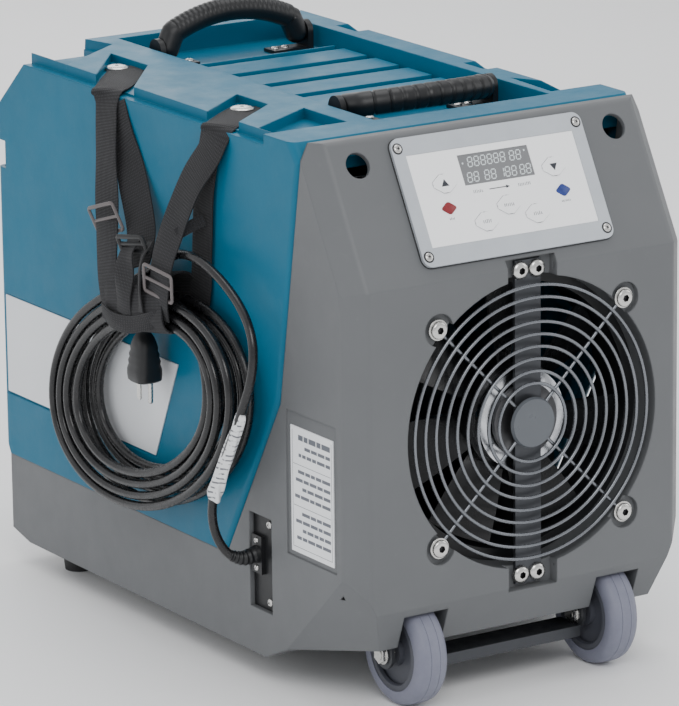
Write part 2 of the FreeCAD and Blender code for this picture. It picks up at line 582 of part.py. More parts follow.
def control_panel():
    frame = new_body("panel_frame_body")
    plate = new_sketch(frame, "XY_Plane", "frame_plate", offset="gasket_thickness")
    outline(plate, rectangle("-panel_width / 2", "panel_foot", "panel_width / 2", "panel_foot + panel_height"))
    feature(frame, "Pad", plate, "panel_thickness")
    dress(frame, "Fillet", "panel_corner", lambda e: abs(ends(e)[0].z - ends(e)[1].z) > 1)
    seat = new_sketch(frame, "XY_Plane", "overlay_seat", offset=f"{FRAME_TOP} + 1")
    outline(seat, rectangle("-overlay_width / 2 - 0.2", f"{PANEL_MIDDLE} - overlay_height / 2 - 0.2",
                            "overlay_width / 2 + 0.2", f"{PANEL_MIDDLE} + overlay_height / 2 + 0.2"))
    feature(frame, "Pocket", seat, "overlay_thickness + 1")
    posts = new_sketch(frame, "XY_Plane", "board_posts", offset="gasket_thickness + 0.5")
    for i, k in SCREW_SIDES:
        disc(posts, f"({i}) * (overlay_width / 2 - 6)", f"{PANEL_MIDDLE} + ({k}) * 36", "3")
    feature(frame, "Pad", posts, "gasket_thickness + 4.9", reverse=True)
    cut_panel_holes(frame, "1")
    screws = new_sketch(frame, "XY_Plane", "plate_screw_holes", offset="10")
    for x, y in PANEL_SCREWS:
        disc(screws, x, y, "1.7")
    feature(frame, "Pocket", screws, "20")
    on_face("panel_frame", frame)

    gasket = new_body("panel_gasket_body")
    sheet_outline = new_sketch(gasket, "XY_Plane", "gasket_sheet")
    outline(sheet_outline, rectangle("-panel_width / 2 - 0.8", "panel_foot - 0.8",
                                     "panel_width / 2 + 0.8", "panel_foot + panel_height + 0.8"))
    feature(gasket, "Pad", sheet_outline, "gasket_thickness")
    dress(gasket, "Fillet", "panel_corner + 0.8", lambda e: abs(ends(e)[0].z - ends(e)[1].z) > 0.5)
    inside = new_sketch(gasket, "XY_Plane", "gasket_window", offset="5")
    outline(inside, rectangle("-overlay_width / 2", "panel_foot + 17", "overlay_width / 2",
                              "panel_foot + panel_height - 17"))
    for x, y in PANEL_SCREWS:
        disc(inside, x, y, "1.7")
    feature(gasket, "Pocket", inside, "10")
    on_face("panel_gasket", gasket)

    overlay = new_body("panel_overlay_body")
    sheet_outline = new_sketch(overlay, "XY_Plane", "overlay_sheet", offset=POCKET_FLOOR)
    outline(sheet_outline, rectangle("-overlay_width / 2", f"{PANEL_MIDDLE} - overlay_height / 2",
                                     "overlay_width / 2", f"{PANEL_MIDDLE} + overlay_height / 2"))
    feature(overlay, "Pad", sheet_outline, "overlay_thickness - 0.2")
    cut_panel_holes(overlay, POCKET_FLOOR)
    lamps = new_sketch(overlay, "XY_Plane", "lamp_holes", offset="10")
    for x in LIGHTS.values():
        outline(lamps, diamond(x, LIGHT_Y, "11", "10"))
    feature(overlay, "Pocket", lamps, "20")
    on_face("panel_overlay", overlay)

    for label, x in LIGHTS.items():
        lamp = new_body(label + "_body")
        shape = new_sketch(lamp, "XY_Plane", label + "_outline", offset=POCKET_FLOOR)
        outline(shape, diamond(x, LIGHT_Y, "10.6", "9.6"))
        feature(lamp, "Pad", shape, "overlay_thickness + 0.3")
        on_face(label, lamp)
    for label, (x, y) in KEYS.items():
        key = new_body(label + "_body")
        shape = new_sketch(key, "XY_Plane", label + "_outline", offset="-0.5")
        outline(shape, diamond(x, f"panel_foot + {y}", "key_width", "key_height"))
        feature(key, "Pad", shape, f"{FRAME_TOP} + 1.2")
        on_face(label, key)

    board = box("overlay_width - 4", "80", "1.6", "0", f"{PANEL_MIDDLE} - 40", "-6")
    switches = [box("6", "6", "2.3", x, f"panel_foot + {y} - 3", "-4.4") for x, y in KEYS.values()]
    on_face("control_board", fuse(board, *switches))
    display = box("display_width", "display_height", f"{FRAME_TOP} + 3.8", "0",
                  f"{DISPLAY_Y} - display_height / 2", "-4.4")
    on_face("display_module", group(display))
    on_face("panel_screws", group(*[screw("4", "1.6", "1.6", "9", x, y, FRAME_TOP, "Z", 1)
                                    for x, y in PANEL_SCREWS]))


# ---------------------------------------------------------------- fan and its guard

WIRE_Y = "(ear_depth - guard_wire / 2)"
RING_Y = f"({WIRE_Y} - 0.88 * guard_wire)"
MOTOR_START = "(bar_setback + 6)"


def ring(major, minor, x, y, z):
    item = doc.addObject("Part::Torus", "ring")
    bind(item, Radius1=major, Radius2=minor)
    item.Placement = Placement(Vector(), TURNS["Y"])
    set_base(item, x, y, z)
    return item


def guard():
    pitch = "((guard_radius - guard_inner) / (guard_rings - 1))"
    wires = [ring(f"guard_radius - {i} * {pitch}", "guard_wire / 2", "fan_x", RING_Y, "fan_z")
             for i in range(int(D.guard_rings))]
    reach = "(guard_screw_offset * sqrt(2) - 7.5)"
    for angle in (45, 135, 225, 315):
        spoke = doc.addObject("Part::Cylinder", "spoke")
        bind(spoke, Radius="guard_wire / 2", Height=f"{reach} - badge_radius + 8")
        turn = Rotation(Vector(0, 1, 0), angle)
        spoke.Placement = Placement(Vector(), turn)
        start = "(badge_radius - 8)"
        set_base(spoke, f"fan_x + {start} * sin({angle})", WIRE_Y, f"fan_z + {start} * cos({angle})")
        wires.append(spoke)
    wires += [ring("6.6", "guard_wire / 2", x, WIRE_Y, z) for x, z in FAN_EARS]
    node("fan_guard", fuse(*wires))
    badge = cone("badge_radius - 1.5", "badge_radius", "badge_thickness", "fan_x",
                 f"{RING_Y} - badge_thickness", "fan_z", "Y")
    boss = rod("badge_radius - 7.5", f"{WIRE_Y} - guard_wire / 2 - ({RING_Y}) + 0.1", "fan_x", RING_Y,
               "fan_z", "Y")
    node("guard_badge", fuse(badge, boss))
    node("guard_screws", group(*[
        fuse(screw("8", "3.4", "2.95", "9", x, f"{WIRE_Y} - guard_wire / 2 - 1.5", z),
             rod("9.8", "1.5", x, f"{WIRE_Y} - guard_wire / 2 - 1.5", z, "Y")) for x, z in FAN_EARS]))


def blade_section(radius, pitch, chord, thickness):
    """A flat section across the blade at one radius, in the plane square to the radius."""
    along = Vector(math.cos(pitch), math.sin(pitch), 0)
    across = Vector(-math.sin(pitch), math.cos(pitch), 0)
    corners = [along * (chord / 2 * i) + across * (thickness / 2 * k)
               for i, k in ((-1, -1), (1, -1), (1, 1), (-1, 1))]
    points = [Vector(c.x, c.y + D.bar_setback + 34, radius) for c in corners]
    return Part.makePolygon(points + points[:1])


def fan():
    bar = box("bar_width", "bar_thickness", "bar_top - bar_foot - 6", "fan_x",
              "bar_setback - bar_thickness", "bar_foot + 3")
    holes = [rod("3.1", "bar_thickness + 2", x, "bar_setback - bar_thickness - 1", z, "Y")
             for x, z in BAR_SCREWS]
    node("motor_bar", cut(bar, *holes))
    node("bar_screws", group(*[
        fuse(screw("7.4", "3.2", "2.95", "15", x, "bar_setback - bar_thickness - 1.4", z),
             rod("8.4", "1.4", x, "bar_setback - bar_thickness - 1.4", z, "Y")) for x, z in BAR_SCREWS]))
    stator = fuse(rod("34", "4", "fan_x", "bar_setback", "fan_z", "Y"),
                  rod("8", "motor_length", "fan_x", "bar_setback", "fan_z", "Y"))
    node("motor_stator", stator)
    can = cut(rod("motor_radius", "motor_length - 8", "fan_x", MOTOR_START, "fan_z", "Y"),
              rod("8 + running_gap", "motor_length", "fan_x", f"{MOTOR_START} - 1", "fan_z", "Y"))
    node("rotor_can", can)
    node("fan_shroud", cut(
        fuse(rod("opening_radius + 4", "4", "fan_x", "collar_depth", "fan_z", "Y"),
             rod("shroud_radius + 4", "46", "fan_x", "collar_depth", "fan_z", "Y")),
        rod("shroud_radius", "60", "fan_x", "collar_depth - 5", "fan_z", "Y")))
    tip = D.shroud_radius - D.fan_tip_gap
    hub = D.fan_hub_radius
    hub_ring = Part.makeCylinder(hub, D.fan_depth, Vector(0, D.bar_setback + 19, 0), Vector(0, 1, 0))
    hub_ring = hub_ring.cut(Part.makeCylinder(D.motor_radius + 0.02, D.fan_depth + 2,
                                              Vector(0, D.bar_setback + 18, 0), Vector(0, 1, 0)))
    stations = ((hub - 2.5, 0.70, 34, 2.6), ((hub + tip) / 2, 0.48, 50, 2.4), (tip, 0.36, 62, 2.0))
    blade = Part.makeLoft([blade_section(r, p, c, t) for r, p, c, t in stations], True, True)
    wheel = hub_ring
    for i in range(int(D.fan_blades)):
        turned = blade.copy()
        turned.rotate(Vector(), Vector(0, 1, 0), 360 * i / D.fan_blades)
        wheel = wheel.fuse(turned)
    wheel = wheel.common(Part.makeCylinder(tip, 80, Vector(), Vector(0, 1, 0)))
    shaped("fan_wheel", wheel, x="fan_x", z="fan_z")


# ---------------------------------------------------------------- wheels and feet

def front_wheels():
    inner_wall = "(wheel_x - tyre_width / 2 - arch_side_gap)"
    outer_wall = "(wheel_x + tyre_width / 2 + arch_side_gap)"
    hub_radius = "(wheel_radius - tyre_depth)"
    axles, cheeks = [], []
    for side, name in ((-1, "left"), (1, "right")):
        start = f"({side}) * wheel_x - tyre_width / 2"
        tyre = cut(fuse(rod("wheel_radius", "tyre_width - 8", f"{start} + 4", "axle_y", "wheel_radius", "X"),
                        cone("wheel_radius - 3", "wheel_radius", "4", start, "axle_y", "wheel_radius", "X"),
                        cone("wheel_radius", "wheel_radius - 3", "4", f"{start} + tyre_width - 4", "axle_y",
                             "wheel_radius", "X")),
                   rod(hub_radius, "tyre_width + 4", f"{start} - 2", "axle_y", "wheel_radius", "X"))
        node(f"tyre_{name}", tyre)
        dish = [rod(f"{hub_radius} - 4", "5", f"{start} + {at}", "axle_y", "wheel_radius", "X")
                for at in ("2 - 5", "tyre_width - 2")]
        rim = fuse(cut(rod(f"{hub_radius} - 0.02", "tyre_width - 2", f"{start} + 1", "axle_y",
                           "wheel_radius", "X"), *[
                       cut(rod(f"{hub_radius} - 4", "7", f"{start} + {at}", "axle_y", "wheel_radius", "X"),
                           rod("13", "9", f"{start} + {at} - 1", "axle_y", "wheel_radius", "X"))
                       for at in ("-1", "tyre_width - 6")]))
        node(f"hub_{name}", cut(rim, rod("axle_radius + running_gap", "tyre_width + 4", f"{start} - 2",
                                         "axle_y", "wheel_radius", "X")))
        low, high = (f"-{outer_wall}", f"-{inner_wall}") if side < 0 else (inner_wall, outer_wall)
        for wall in (low, f"{high} - 3"):
            plate = fuse(rod("14", "3", wall, "axle_y", "wheel_radius", "X"),
                         box("3", "26", "36", f"{wall} + 1.5", "axle_y - 13", "wheel_radius"))
            cheeks.append(cut(plate, rod("axle_radius + running_gap", "5", f"{wall} - 1", "axle_y",
                                         "wheel_radius", "X")))
        spacers = [(f"{low} + 3.2", f"{start} - 0.4"), (f"{start} + tyre_width + 0.4", f"{high} - 3.2")]
        outer_end = low if side < 0 else high
        inner_end = high if side < 0 else low
        bolt = rod("axle_radius", f"{high} - ({low}) + 12", f"{low} - 6", "axle_y", "wheel_radius", "X")
        head = hexagon("15", "5", f"{outer_end} - 5.3" if side < 0 else f"{outer_end} + 0.3", "axle_y",
                       "wheel_radius", "X")
        nut = hexagon("15", "5.5", f"{inner_end} + 0.3" if side < 0 else f"{inner_end} - 5.8", "axle_y",
                      "wheel_radius", "X")
        collars = [rod("7.5", f"{b} - ({a})", a, "axle_y", "wheel_radius", "X") for a, b in spacers]
        axles.append(fuse(bolt, head, nut, *collars))
    node("wheel_axles", group(*axles))
    node("wheel_brackets", group(*cheeks))
    bar = box(f"2 * {inner_wall}", "32", "10.5", "0", "axle_y - 9", "wheel_radius - 20")
    node("wheel_crossbar", group(bar))
    feet = [cone("foot_radius - 3", "foot_radius", "ground_gap", f"({i}) * foot_x", "foot_y", "0")
            for i in (-1, 1)]
    node("rear_feet", group(*feet))


# ---------------------------------------------------------------- folding handles

def handle_grip():
    """The arched grip, upright, with its pivot axis through the origin along X."""
    half = D.handle_span / 2
    leg = 0.5 * D.handle_rise
    foot = [Vector(side * half, 0, 0) for side in (-1, 1)]
    shoulder = [Vector(side * (half - 7), 0, leg) for side in (-1, 1)]
    crown = Part.Arc(shoulder[0], Vector(0, 0, D.handle_rise), shoulder[1])
    legs = [Part.makeCylinder(D.grip_radius, (shoulder[i] - foot[i]).Length, foot[i], shoulder[i] - foot[i])
            for i in (0, 1)]
    path = Part.Wire([crown.toShape()])
    start = crown.toShape().tangentAt(crown.toShape().FirstParameter)
    ring_wire = Part.Wire([Part.makeCircle(D.grip_radius, shoulder[0], start)])
    grip = path.makePipeShell([ring_wire], True, True)
    for i in (0, 1):
        grip = grip.fuse(legs[i]).fuse(Part.makeSphere(D.grip_radius, shoulder[i]))
        grip = grip.fuse(Part.makeCylinder(D.grip_radius, 14, foot[i] - Vector(7, 0, 0), Vector(1, 0, 0)))
    grip = grip.common(Part.makeBox(2 * half + 14, 80, 80, Vector(-half - 7, -40, -40)))
    bore = D.pin_radius + D.running_gap
    for i in (0, 1):
        grip = grip.cut(Part.makeCylinder(bore, 14 + 2, foot[i] - Vector(8, 0, 0), Vector(1, 0, 0)))
    return grip


def handles():
    pivot_z = "(body_height - pivot_drop)"
    floor = "(body_height - pocket_level)"
    feet, screws = [], []
    for name, y, fold in (("front", "front_pivot_y", 1), ("rear", "rear_pivot_y", 0)):
        item = shaped(f"{name}_handle", handle_grip(), x="handle_x", y=f"{FRONT} + {y}", z=pivot_z)
        turn = Rotation(Vector(1, 0, 0), fold * D.fold_angle)
        item.Placement = Placement(item.Placement.Base, turn)
        for side in (-1, 1):
            ear_x = f"handle_x + ({side}) * (handle_span / 2 + 7.4 + 3)"
            pin_start = f"handle_x + ({side}) * (handle_span / 2) - 6.5 + ({side}) * 1"
            ear = fuse(box("6", "22", f"{pivot_z} - {floor}", ear_x, f"{y} - 11", floor),
                       rod("11", "6", f"{ear_x} - 3", y, pivot_z, "X"))
            middle = f"handle_x + ({side}) * (handle_span / 2 - 8.6)"
            base = box("44", "20", "3.5", middle, f"{y} - 10", floor)
            pin = rod("pin_radius", "13", pin_start, y, pivot_z, "X")
            link = box("10", "8", "3.5", ear_x, f"{y} - 4", floor)
            screw_x = [f"handle_x + ({side}) * (handle_span / 2 - {at})" for at in ("13", "24.5")]
            holes = [rod("2", "9", x, y, f"{floor} - 1") for x in screw_x]
            feet.append(cut(fuse(ear, base, pin, link), *holes))
            screws += [screw("4.2", "2.2", "1.9", "3", x, y, f"{floor} + 3.5", "Z", 1) for x in screw_x]
    node("handle_feet", group(*feet))
    node("handle_screws", group(*screws))


# ---------------------------------------------------------------- plates on the -X side

def side_plates():
    depth = "(plate_sink - 0.5)"
    rating = new_body("rating_plate_body")
    shape = new_sketch(rating, "YZ_Plane", "rating_outline", offset=f"-{SIDE} + plate_sink")
    outline(shape, rectangle("rating_front", "rating_foot", "rating_front + rating_length",
                             "rating_foot + rating_height"))
    feature(rating, "Pad", shape, depth, reverse=True)
    node("rating_plate", rating)
    label = new_body("side_label_body")
    shape = new_sketch(label, "YZ_Plane", "label_outline", offset=f"-{SIDE} + plate_sink")
    outline(shape, [("label_front + 3", "label_foot + 2"), ("body_depth - 9", "label_foot + 2"),
                    ("body_depth - 9", "label_foot + label_height - 2"),
                    ("label_front - label_slant * 2 + 3", "label_foot + label_height - 2")])
    feature(label, "Pad", shape, depth, reverse=True)
    node("side_label", label)


def cord_inlet():
    """The plate inside the side window, the clamp on it and its screws."""
    plate_x = f"(-{INNER})"
    plate = cut(box("3", "inlet_length + 10", "inlet_height + 10", f"{plate_x} + 1.5",
                    "inlet_y - inlet_length / 2 - 5", "inlet_z - inlet_height / 2 - 5"),
                rod("cord_radius + 0.3", "10", f"{plate_x} - 3", "165", "121", "X"))
    node("inlet_plate", plate)
    clamp = fuse(box("4", "17", "36", f"{plate_x} - 2", "156.5", "103"))
    node("cord_clamp", cut(clamp, rod("cord_radius + 0.3", "12", f"{plate_x} - 6", "165", "121", "X")))
    node("inlet_screws", group(*[
        *[screw("4", "2", "1.5", "2.5", plate_x, "inlet_y - 8", f"inlet_z + ({k}) * 37", "X", -1)
          for k in (-1, 1)],
        *[screw("3", "1.6", "1.4", "3", f"{plate_x} - 4", "165", f"121 + ({k}) * 13", "X", -1)
          for k in (-1, 1)]]))


# ---------------------------------------------------------------- inside

def inside():
    floor = "(ground_gap + shell_wall)"
    pan = cut(box("coil_width + 30", "pan_length", "pan_rim", "0", "pan_y", floor),
              box("coil_width + 22", "pan_length - 8", "pan_rim", "0", "pan_y + 4", f"{floor} + 4"))
    node("drain_pan", pan)
    coil_foot = f"({floor} + 4)"
    node("condenser_coil", group(box("coil_width", "condenser_depth", "coil_height", "0", "pan_y + 20",
                                     coil_foot)))
    node("evaporator_coil", group(box("coil_width", "evaporator_depth", "coil_height", "0",
                                      "pan_y + 100", coil_foot)))
    plate = box("136", "124", "5", "compressor_x", "compressor_y - 62", floor)
    shell = rod("compressor_radius", "compressor_height - 30", "compressor_x", "compressor_y",
                f"{floor} + 5 + 15")
    foot = cone("compressor_radius - 12", "compressor_radius", "15", "compressor_x", "compressor_y",
                f"{floor} + 5")
    dome = cone("compressor_radius", "compressor_radius - 25", "15", "compressor_x", "compressor_y",
                f"{floor} + compressor_height - 10")
    node("compressor", fuse(plate, shell, foot, dome))
    node("electrical_box", group(box("90", "100", "150", "115", "compressor_y - 40", floor)))
    node("condensate_pump", group(box("90", "70", "95", "75", "pan_y + pan_length + 20", floor)))
    rise = 46
    start = Vector(D.compressor_x, D.compressor_y, D.ground_gap + D.shell_wall + D.compressor_height + 5)
    end_y = D.pan_y + 20
    wire = bent_wire([start, start + Vector(0, 0, rise), Vector(start.x, end_y, start.z + rise + 4)], 14)
    section = Part.Wire([Part.makeCircle(5, start, Vector(0, 0, 1))])
    shaped("discharge_line", wire.makePipeShell([section], True, True))
    channel = cut(box("filter_width + 8", "filter_depth + 12", "filter_height + 8", "0",
                      "body_depth - shell_wall - filter_depth - 10", "filter_foot - 4"),
                  box("filter_width", "filter_depth + 20", "filter_height", "0",
                      "body_depth - shell_wall - filter_depth - 2", "filter_foot"),
                  box("filter_width - 24", "80", "filter_height - 24", "0", "body_depth - 90",
                      "filter_foot + 12"))
    flange = cut(box("filter_width + 30", "4", "filter_height + 30", "0",
                     "body_depth - shell_wall - 4", "filter_foot - 15"),
                 box("filter_width", "10", "filter_height", "0", "body_depth - shell_wall - 6",
                     "filter_foot"))
    node("filter_channel", fuse(channel, flange))
    frame = cut(box("filter_width - 2 * filter_gap", "filter_depth", "filter_height - 2 * filter_gap", "0",
                    "body_depth - shell_wall - filter_depth - 1.7", "filter_foot + filter_gap"),
                box("filter_width - 30", "filter_depth", "filter_height - 30", "0",
                    "body_depth - shell_wall - 8", "filter_foot + 15"))
    tab = box("40", "8", "14", "0", "body_depth - shell_wall - 3", "filter_foot + 2")
    node("air_filter", fuse(frame, tab))
    barb = fuse(rod("6", "18", "-120", "base_depth", "62", "Y"),
                rod("11", "5", "-120", "base_depth", "62", "Y"))
    node("drain_fitting", barb)


def bent_wire(points, radius):
    """Straight runs joined by tangent arcs of one radius."""
    edges, last = [], points[0]
    for before, corner, after in zip(points, points[1:], points[2:]):
        into = (corner - before).normalize()
        out = (after - corner).normalize()
        half = into.getAngle(out) / 2
        reach = radius * math.tan(half)
        begin = corner - into * reach
        end = corner + out * reach
        middle = corner + (out - into).normalize() * (radius / math.cos(half) - radius)
        edges += [Part.LineSegment(last, begin).toShape(), Part.Arc(begin, middle, end).toShape()]
        last = end
    edges.append(Part.LineSegment(last, points[-1]).toShape())
    return Part.Wire(edges)


# ---------------------------------------------------------------- straps

COIL_BACK = -D.body_width / 2 - D.coil_back_gap
COIL_FRONT = COIL_BACK - D.coil_thickness


def ribbon(stations, thickness):
    """A flat strap through stations of (centre, width along Y, outward direction)."""
    wires = []
    for centre, width, outward in stations:
        a = Vector(0, width / 2, 0)
        b = outward.normalize() * (thickness / 2)
        corners = [centre - a - b, centre + a - b, centre + a + b, centre - a + b]
        wires.append(Part.makePolygon(corners + corners[:1]))
    return Part.makeLoft(wires, True, True)


STRAP_TOP = D.body_height - D.anchor_depth + 0.3 + D.strap_thickness / 2
STRAP_FRONT = COIL_FRONT - D.band_gap - D.strap_thickness / 2
STRAP_BACK = -D.body_width / 2 - D.band_gap - D.strap_thickness / 2
EDGE_X = -D.body_width / 2 - 2.6
SKEW_REACH = D.body_width / 2 - D.strap_anchor_x + D.anchor_reach
REAR_STRAP = SimpleNamespace(
    anchor=D.strap_rear_y, run=D.strap_rear_run, slope=(D.strap_rear_run + D.anchor_lead) / SKEW_REACH,
    loop=D.body_depth / 2 + D.loop_rear_y, top=D.loop_rear_top, foot=D.loop_rear_foot)
FRONT_STRAP = SimpleNamespace(
    anchor=D.strap_front_y, run=D.strap_front_run, slope=(D.strap_front_run + D.anchor_lead) / SKEW_REACH,
    loop=D.body_depth / 2 + D.loop_front_y, top=D.loop_front_top, foot=D.loop_front_foot)


def strap(way):
    """From the anchor screw over the edge, down the side, under the top of the coil and back up."""
    side = -D.body_width / 2
    skewed = D.strap_width * math.sqrt(1 + way.slope ** 2)
    straight = D.strap_width
    edge_y = way.anchor - way.run
    tail_y = (edge_y + way.loop) / 2
    outward, inward = Vector(-1, 0, 0), Vector(1, 0, 0)
    return ribbon([
        (Vector(D.anchor_reach - D.strap_anchor_x - 2, way.anchor + D.anchor_lead - 2 * way.slope,
                STRAP_TOP), skewed, Vector(0, 0, 1)),
        (Vector(side, edge_y, STRAP_TOP), skewed, Vector(0, 0, 1)),
        (Vector(side - 2.2, edge_y - 2, STRAP_TOP - 1), skewed, Vector(-1, 0, 1)),
        (Vector(EDGE_X, edge_y - 4, STRAP_TOP - D.edge_drop), skewed, outward),
        (Vector(STRAP_FRONT, way.loop, way.top), straight, outward),
        (Vector(STRAP_FRONT, way.loop, way.foot + 6), straight, outward),
        (Vector(STRAP_FRONT + 6, way.loop, way.foot), straight, Vector(-1, 0, -1)),
        (Vector(STRAP_BACK - 5, way.loop, way.foot), straight, Vector(1, 0, -1)),
        (Vector(STRAP_BACK, way.loop, way.foot + 6), straight, inward),
        (Vector(STRAP_BACK, tail_y, D.body_height - 50), straight, inward),
    ], D.strap_thickness)


def slider(low, high, share):
    """A rectangular buckle on the outside of the strap run from low to high."""
    up = (high - low).normalize()
    across = Vector(0, 1, 0)
    across = (across - up * across.dot(up)).normalize()
    out = up.cross(across).normalize()
    if out.x > 0:
        out = out * -1
    half = D.slider_thickness / 2
    centre = low + (high - low) * share + out * (D.strap_thickness / 2 + 0.3 + half)
    plates = []
    for width, height in ((D.strap_width + 2 * D.slider_border, D.slider_height),
                          (D.strap_width + 1, D.slider_window)):
        a, b = across * (width / 2), up * (height / 2)
        corners = [centre - a - b, centre + a - b, centre + a + b, centre - a + b]
        face = Part.Face(Part.makePolygon([c - out * half for c in corners + corners[:1]]))
        plates.append(face.extrude(out * D.slider_thickness))
    return plates[0].cut(plates[1])


def coil_band():
    """The band round the top of the coil: a flat sleeve, tilted with the cord it holds."""
    middle = Vector((COIL_BACK + COIL_FRONT) / 2, D.body_depth / 2 + D.band_y, D.band_z)
    sleeves = []
    for gap in (D.band_gap, D.band_gap + D.strap_thickness):
        half = Vector(D.coil_thickness / 2 + gap, D.band_length / 2, D.band_height / 2 + gap)
        sleeves.append(Part.makeBox(2 * half.x, 2 * half.y, 2 * half.z, middle - half))
    band = sleeves[1].cut(sleeves[0])
    band.rotate(middle, Vector(1, 0, 0), -D.band_tilt)
    return band


def straps():
    holes = []
    for way in (REAR_STRAP, FRONT_STRAP):
        hole_y = way.anchor + D.anchor_screw_in * way.slope
        start = Vector(D.anchor_screw_in - D.strap_anchor_x, hole_y, STRAP_TOP - 6)
        holes.append(Part.makeCylinder(3.2, 12, start))
    shaped("rear_strap", strap(REAR_STRAP).cut(holes[0]))
    shaped("front_strap", strap(FRONT_STRAP).fuse(coil_band()).cut(holes[1]))
    rear_low = Vector(STRAP_FRONT, REAR_STRAP.loop, REAR_STRAP.top)
    rear_high = Vector(EDGE_X, REAR_STRAP.anchor - REAR_STRAP.run - 4, STRAP_TOP - D.edge_drop)
    front_low = Vector(STRAP_FRONT, FRONT_STRAP.loop, FRONT_STRAP.foot + 48)
    front_high = Vector(STRAP_FRONT, FRONT_STRAP.loop, FRONT_STRAP.foot + 60)
    shaped("strap_sliders", Part.makeCompound([slider(rear_low, rear_high, 0.28),
                                               slider(front_low, front_high, 0.5)]))
    head_z = "body_height - anchor_depth + 0.6 + strap_thickness"
    screws = []
    for y, run in STRAP_ANCHORS:
        centre_y = anchor_screw_y(y, run)
        head = cone("11.5", "7", "2.4", ANCHOR_SCREW_X, centre_y, head_z)
        shank = rod("3", "7", ANCHOR_SCREW_X, centre_y, f"{head_z} - 7")
        screws.append(fuse(head, shank))
    node("strap_screws", group(*screws))


# ---------------------------------------------------------------- cord, laid out in the part's frame

CORD_ROUTE = [
    Vector(-184, -150, 121), Vector(-196, -149, 119), Vector(-207, -145, 122), Vector(-214, -139, 133),
    Vector(-218, -134, 149), Vector(-219, -134, 171), Vector(-219, -146, 199), Vector(-219, -170, 237),
    Vector(-218, -190, 274), Vector(-215, -202, 305), Vector(-212, -200, 336), Vector(-210, -179, 361),
    Vector(-209, -141, 381), Vector(-208, -98, 392), Vector(-206, -58, 388), Vector(-205, -31, 371),
    Vector(-204, -16, 352),
]
# the wrap round the cord, from its foot upward: centre, direction, width and depth
TAG_SECTIONS = [
    (Vector(-219, -139.5, 179), Vector(0, -0.39, 0.92), 17, 11),
    (Vector(-219, -149, 199), Vector(0, -0.47, 0.88), 16, 11),
    (Vector(-219, -170.5, 234), Vector(0, -0.52, 0.85), 14, 11),
    (Vector(-218.3, -188, 267), Vector(0, -0.49, 0.87), 12, 10.6),
]


def route_wire(points):
    """Straight runs joined by arcs as large as the runs allow; returns the wire and its radii."""
    edges, last, radii = [], points[0], []
    for before, corner, after in zip(points, points[1:], points[2:]):
        into, out = (corner - before), (after - corner)
        reach = 0.45 * min(into.Length, out.Length)
        into, out = into.normalize(), out.normalize()
        half = into.getAngle(out) / 2
        bend = reach / math.tan(half)
        radii.append(bend)
        begin, end = corner - into * reach, corner + out * reach
        middle = corner + (out - into).normalize() * (bend / math.cos(half) - bend)
        edges += [Part.LineSegment(last, begin).toShape(), Part.Arc(begin, middle, end).toShape()]
        last = end
    edges.append(Part.LineSegment(last, points[-1]).toShape())
    return Part.Wire(edges), radii


def tube(wire, radius):
    start = CORD_ROUTE[0]
    section = Part.Wire([Part.makeCircle(radius, start, (CORD_ROUTE[1] - start).normalize())])
    return wire.makePipeShell([section], True, True)


def oval_slab(reach_long, reach_short, start_x, length):
    """A slab across X with the oval outline of the hanging coil, its long axis falling to the rear."""
    centre = Vector(start_x, D.oval_y, D.oval_z)
    face = Part.Face(Part.Wire([Part.Ellipse(Vector(), reach_long, reach_short).toShape()]))
    face.Placement = Placement(centre, Rotation(Vector(0, 1, 0), Vector(0, 0, 1), Vector(1, 0, 0), "XYZ"))
    face.rotate(centre, Vector(1, 0, 0), -D.oval_tilt)
    return face.extrude(Vector(length, 0, 0))


def plug(middle_x):
    corner = Vector(middle_x - D.plug_width / 2, D.plug_y - D.plug_depth / 2, D.plug_foot)
    grip = Part.makeBox(D.plug_width, D.plug_depth, D.plug_height, corner)
    upright = [edge for edge in grip.Edges if abs(ends(edge)[0].z - ends(edge)[1].z) > 1]
    neck = Part.makeCone(D.neck_start, D.neck_end, D.neck_length,
                         Vector(middle_x, D.plug_y, D.plug_foot + D.plug_height))
    return grip.makeFillet(D.plug_round, upright).fuse(neck)


def prongs(middle_x):
    """Two flat blades and, in front of them, a round earth pin."""
    foot = D.plug_foot - D.prong_length
    blades = [Part.makeBox(1.6, 6.4, D.prong_length - 3, Vector(middle_x + dx, D.plug_y - 3.2, foot + 3))
              for dx in (-7, 5.4)]
    pin = Part.makeCylinder(2.4, D.prong_length, Vector(middle_x, D.plug_y - 10, foot))
    return Part.makeCompound(blades + [pin])


def wrap(wire):
    """A thin wrap round the cord, wide at its foot, with room for the cord through it."""
    rings = []
    for centre, along, width, depth in TAG_SECTIONS:
        a = along.cross(Vector(1, 0, 0)).normalize() * (width / 2)
        b = Vector(depth / 2, 0, 0)
        corners = [centre - a - b, centre + a - b, centre + a + b, centre - a + b]
        rings.append(Part.makePolygon(corners + corners[:1]))
    return Part.makeLoft(rings, True, True).cut(tube(wire, D.cord_radius + D.tag_gap))


def cord():
    wire, radii = route_wire(CORD_ROUTE)
    lead = tube(wire, D.cord_radius)
    print("cord radii", [round(radius) for radius in radii], "length", round(wire.Length),
          "volume error", round(lead.Volume / (math.pi * D.cord_radius ** 2 * wire.Length) - 1, 5))
    shaped("cord_lead", lead, y="0")
    outer = oval_slab(D.oval_long, D.oval_short, COIL_FRONT, D.coil_thickness)
    inner = oval_slab(D.oval_hole_long, D.oval_hole_short, COIL_FRONT - 1, D.coil_thickness + 2)
    shaped("cord_coil", outer.cut(inner), y="0")
    middle_x = (COIL_BACK + COIL_FRONT) / 2
    shaped("cord_plug", plug(middle_x), y="0")
    shaped("plug_prongs", prongs(middle_x), y="0")
    shaped("cord_tag", wrap(wire), y="0")


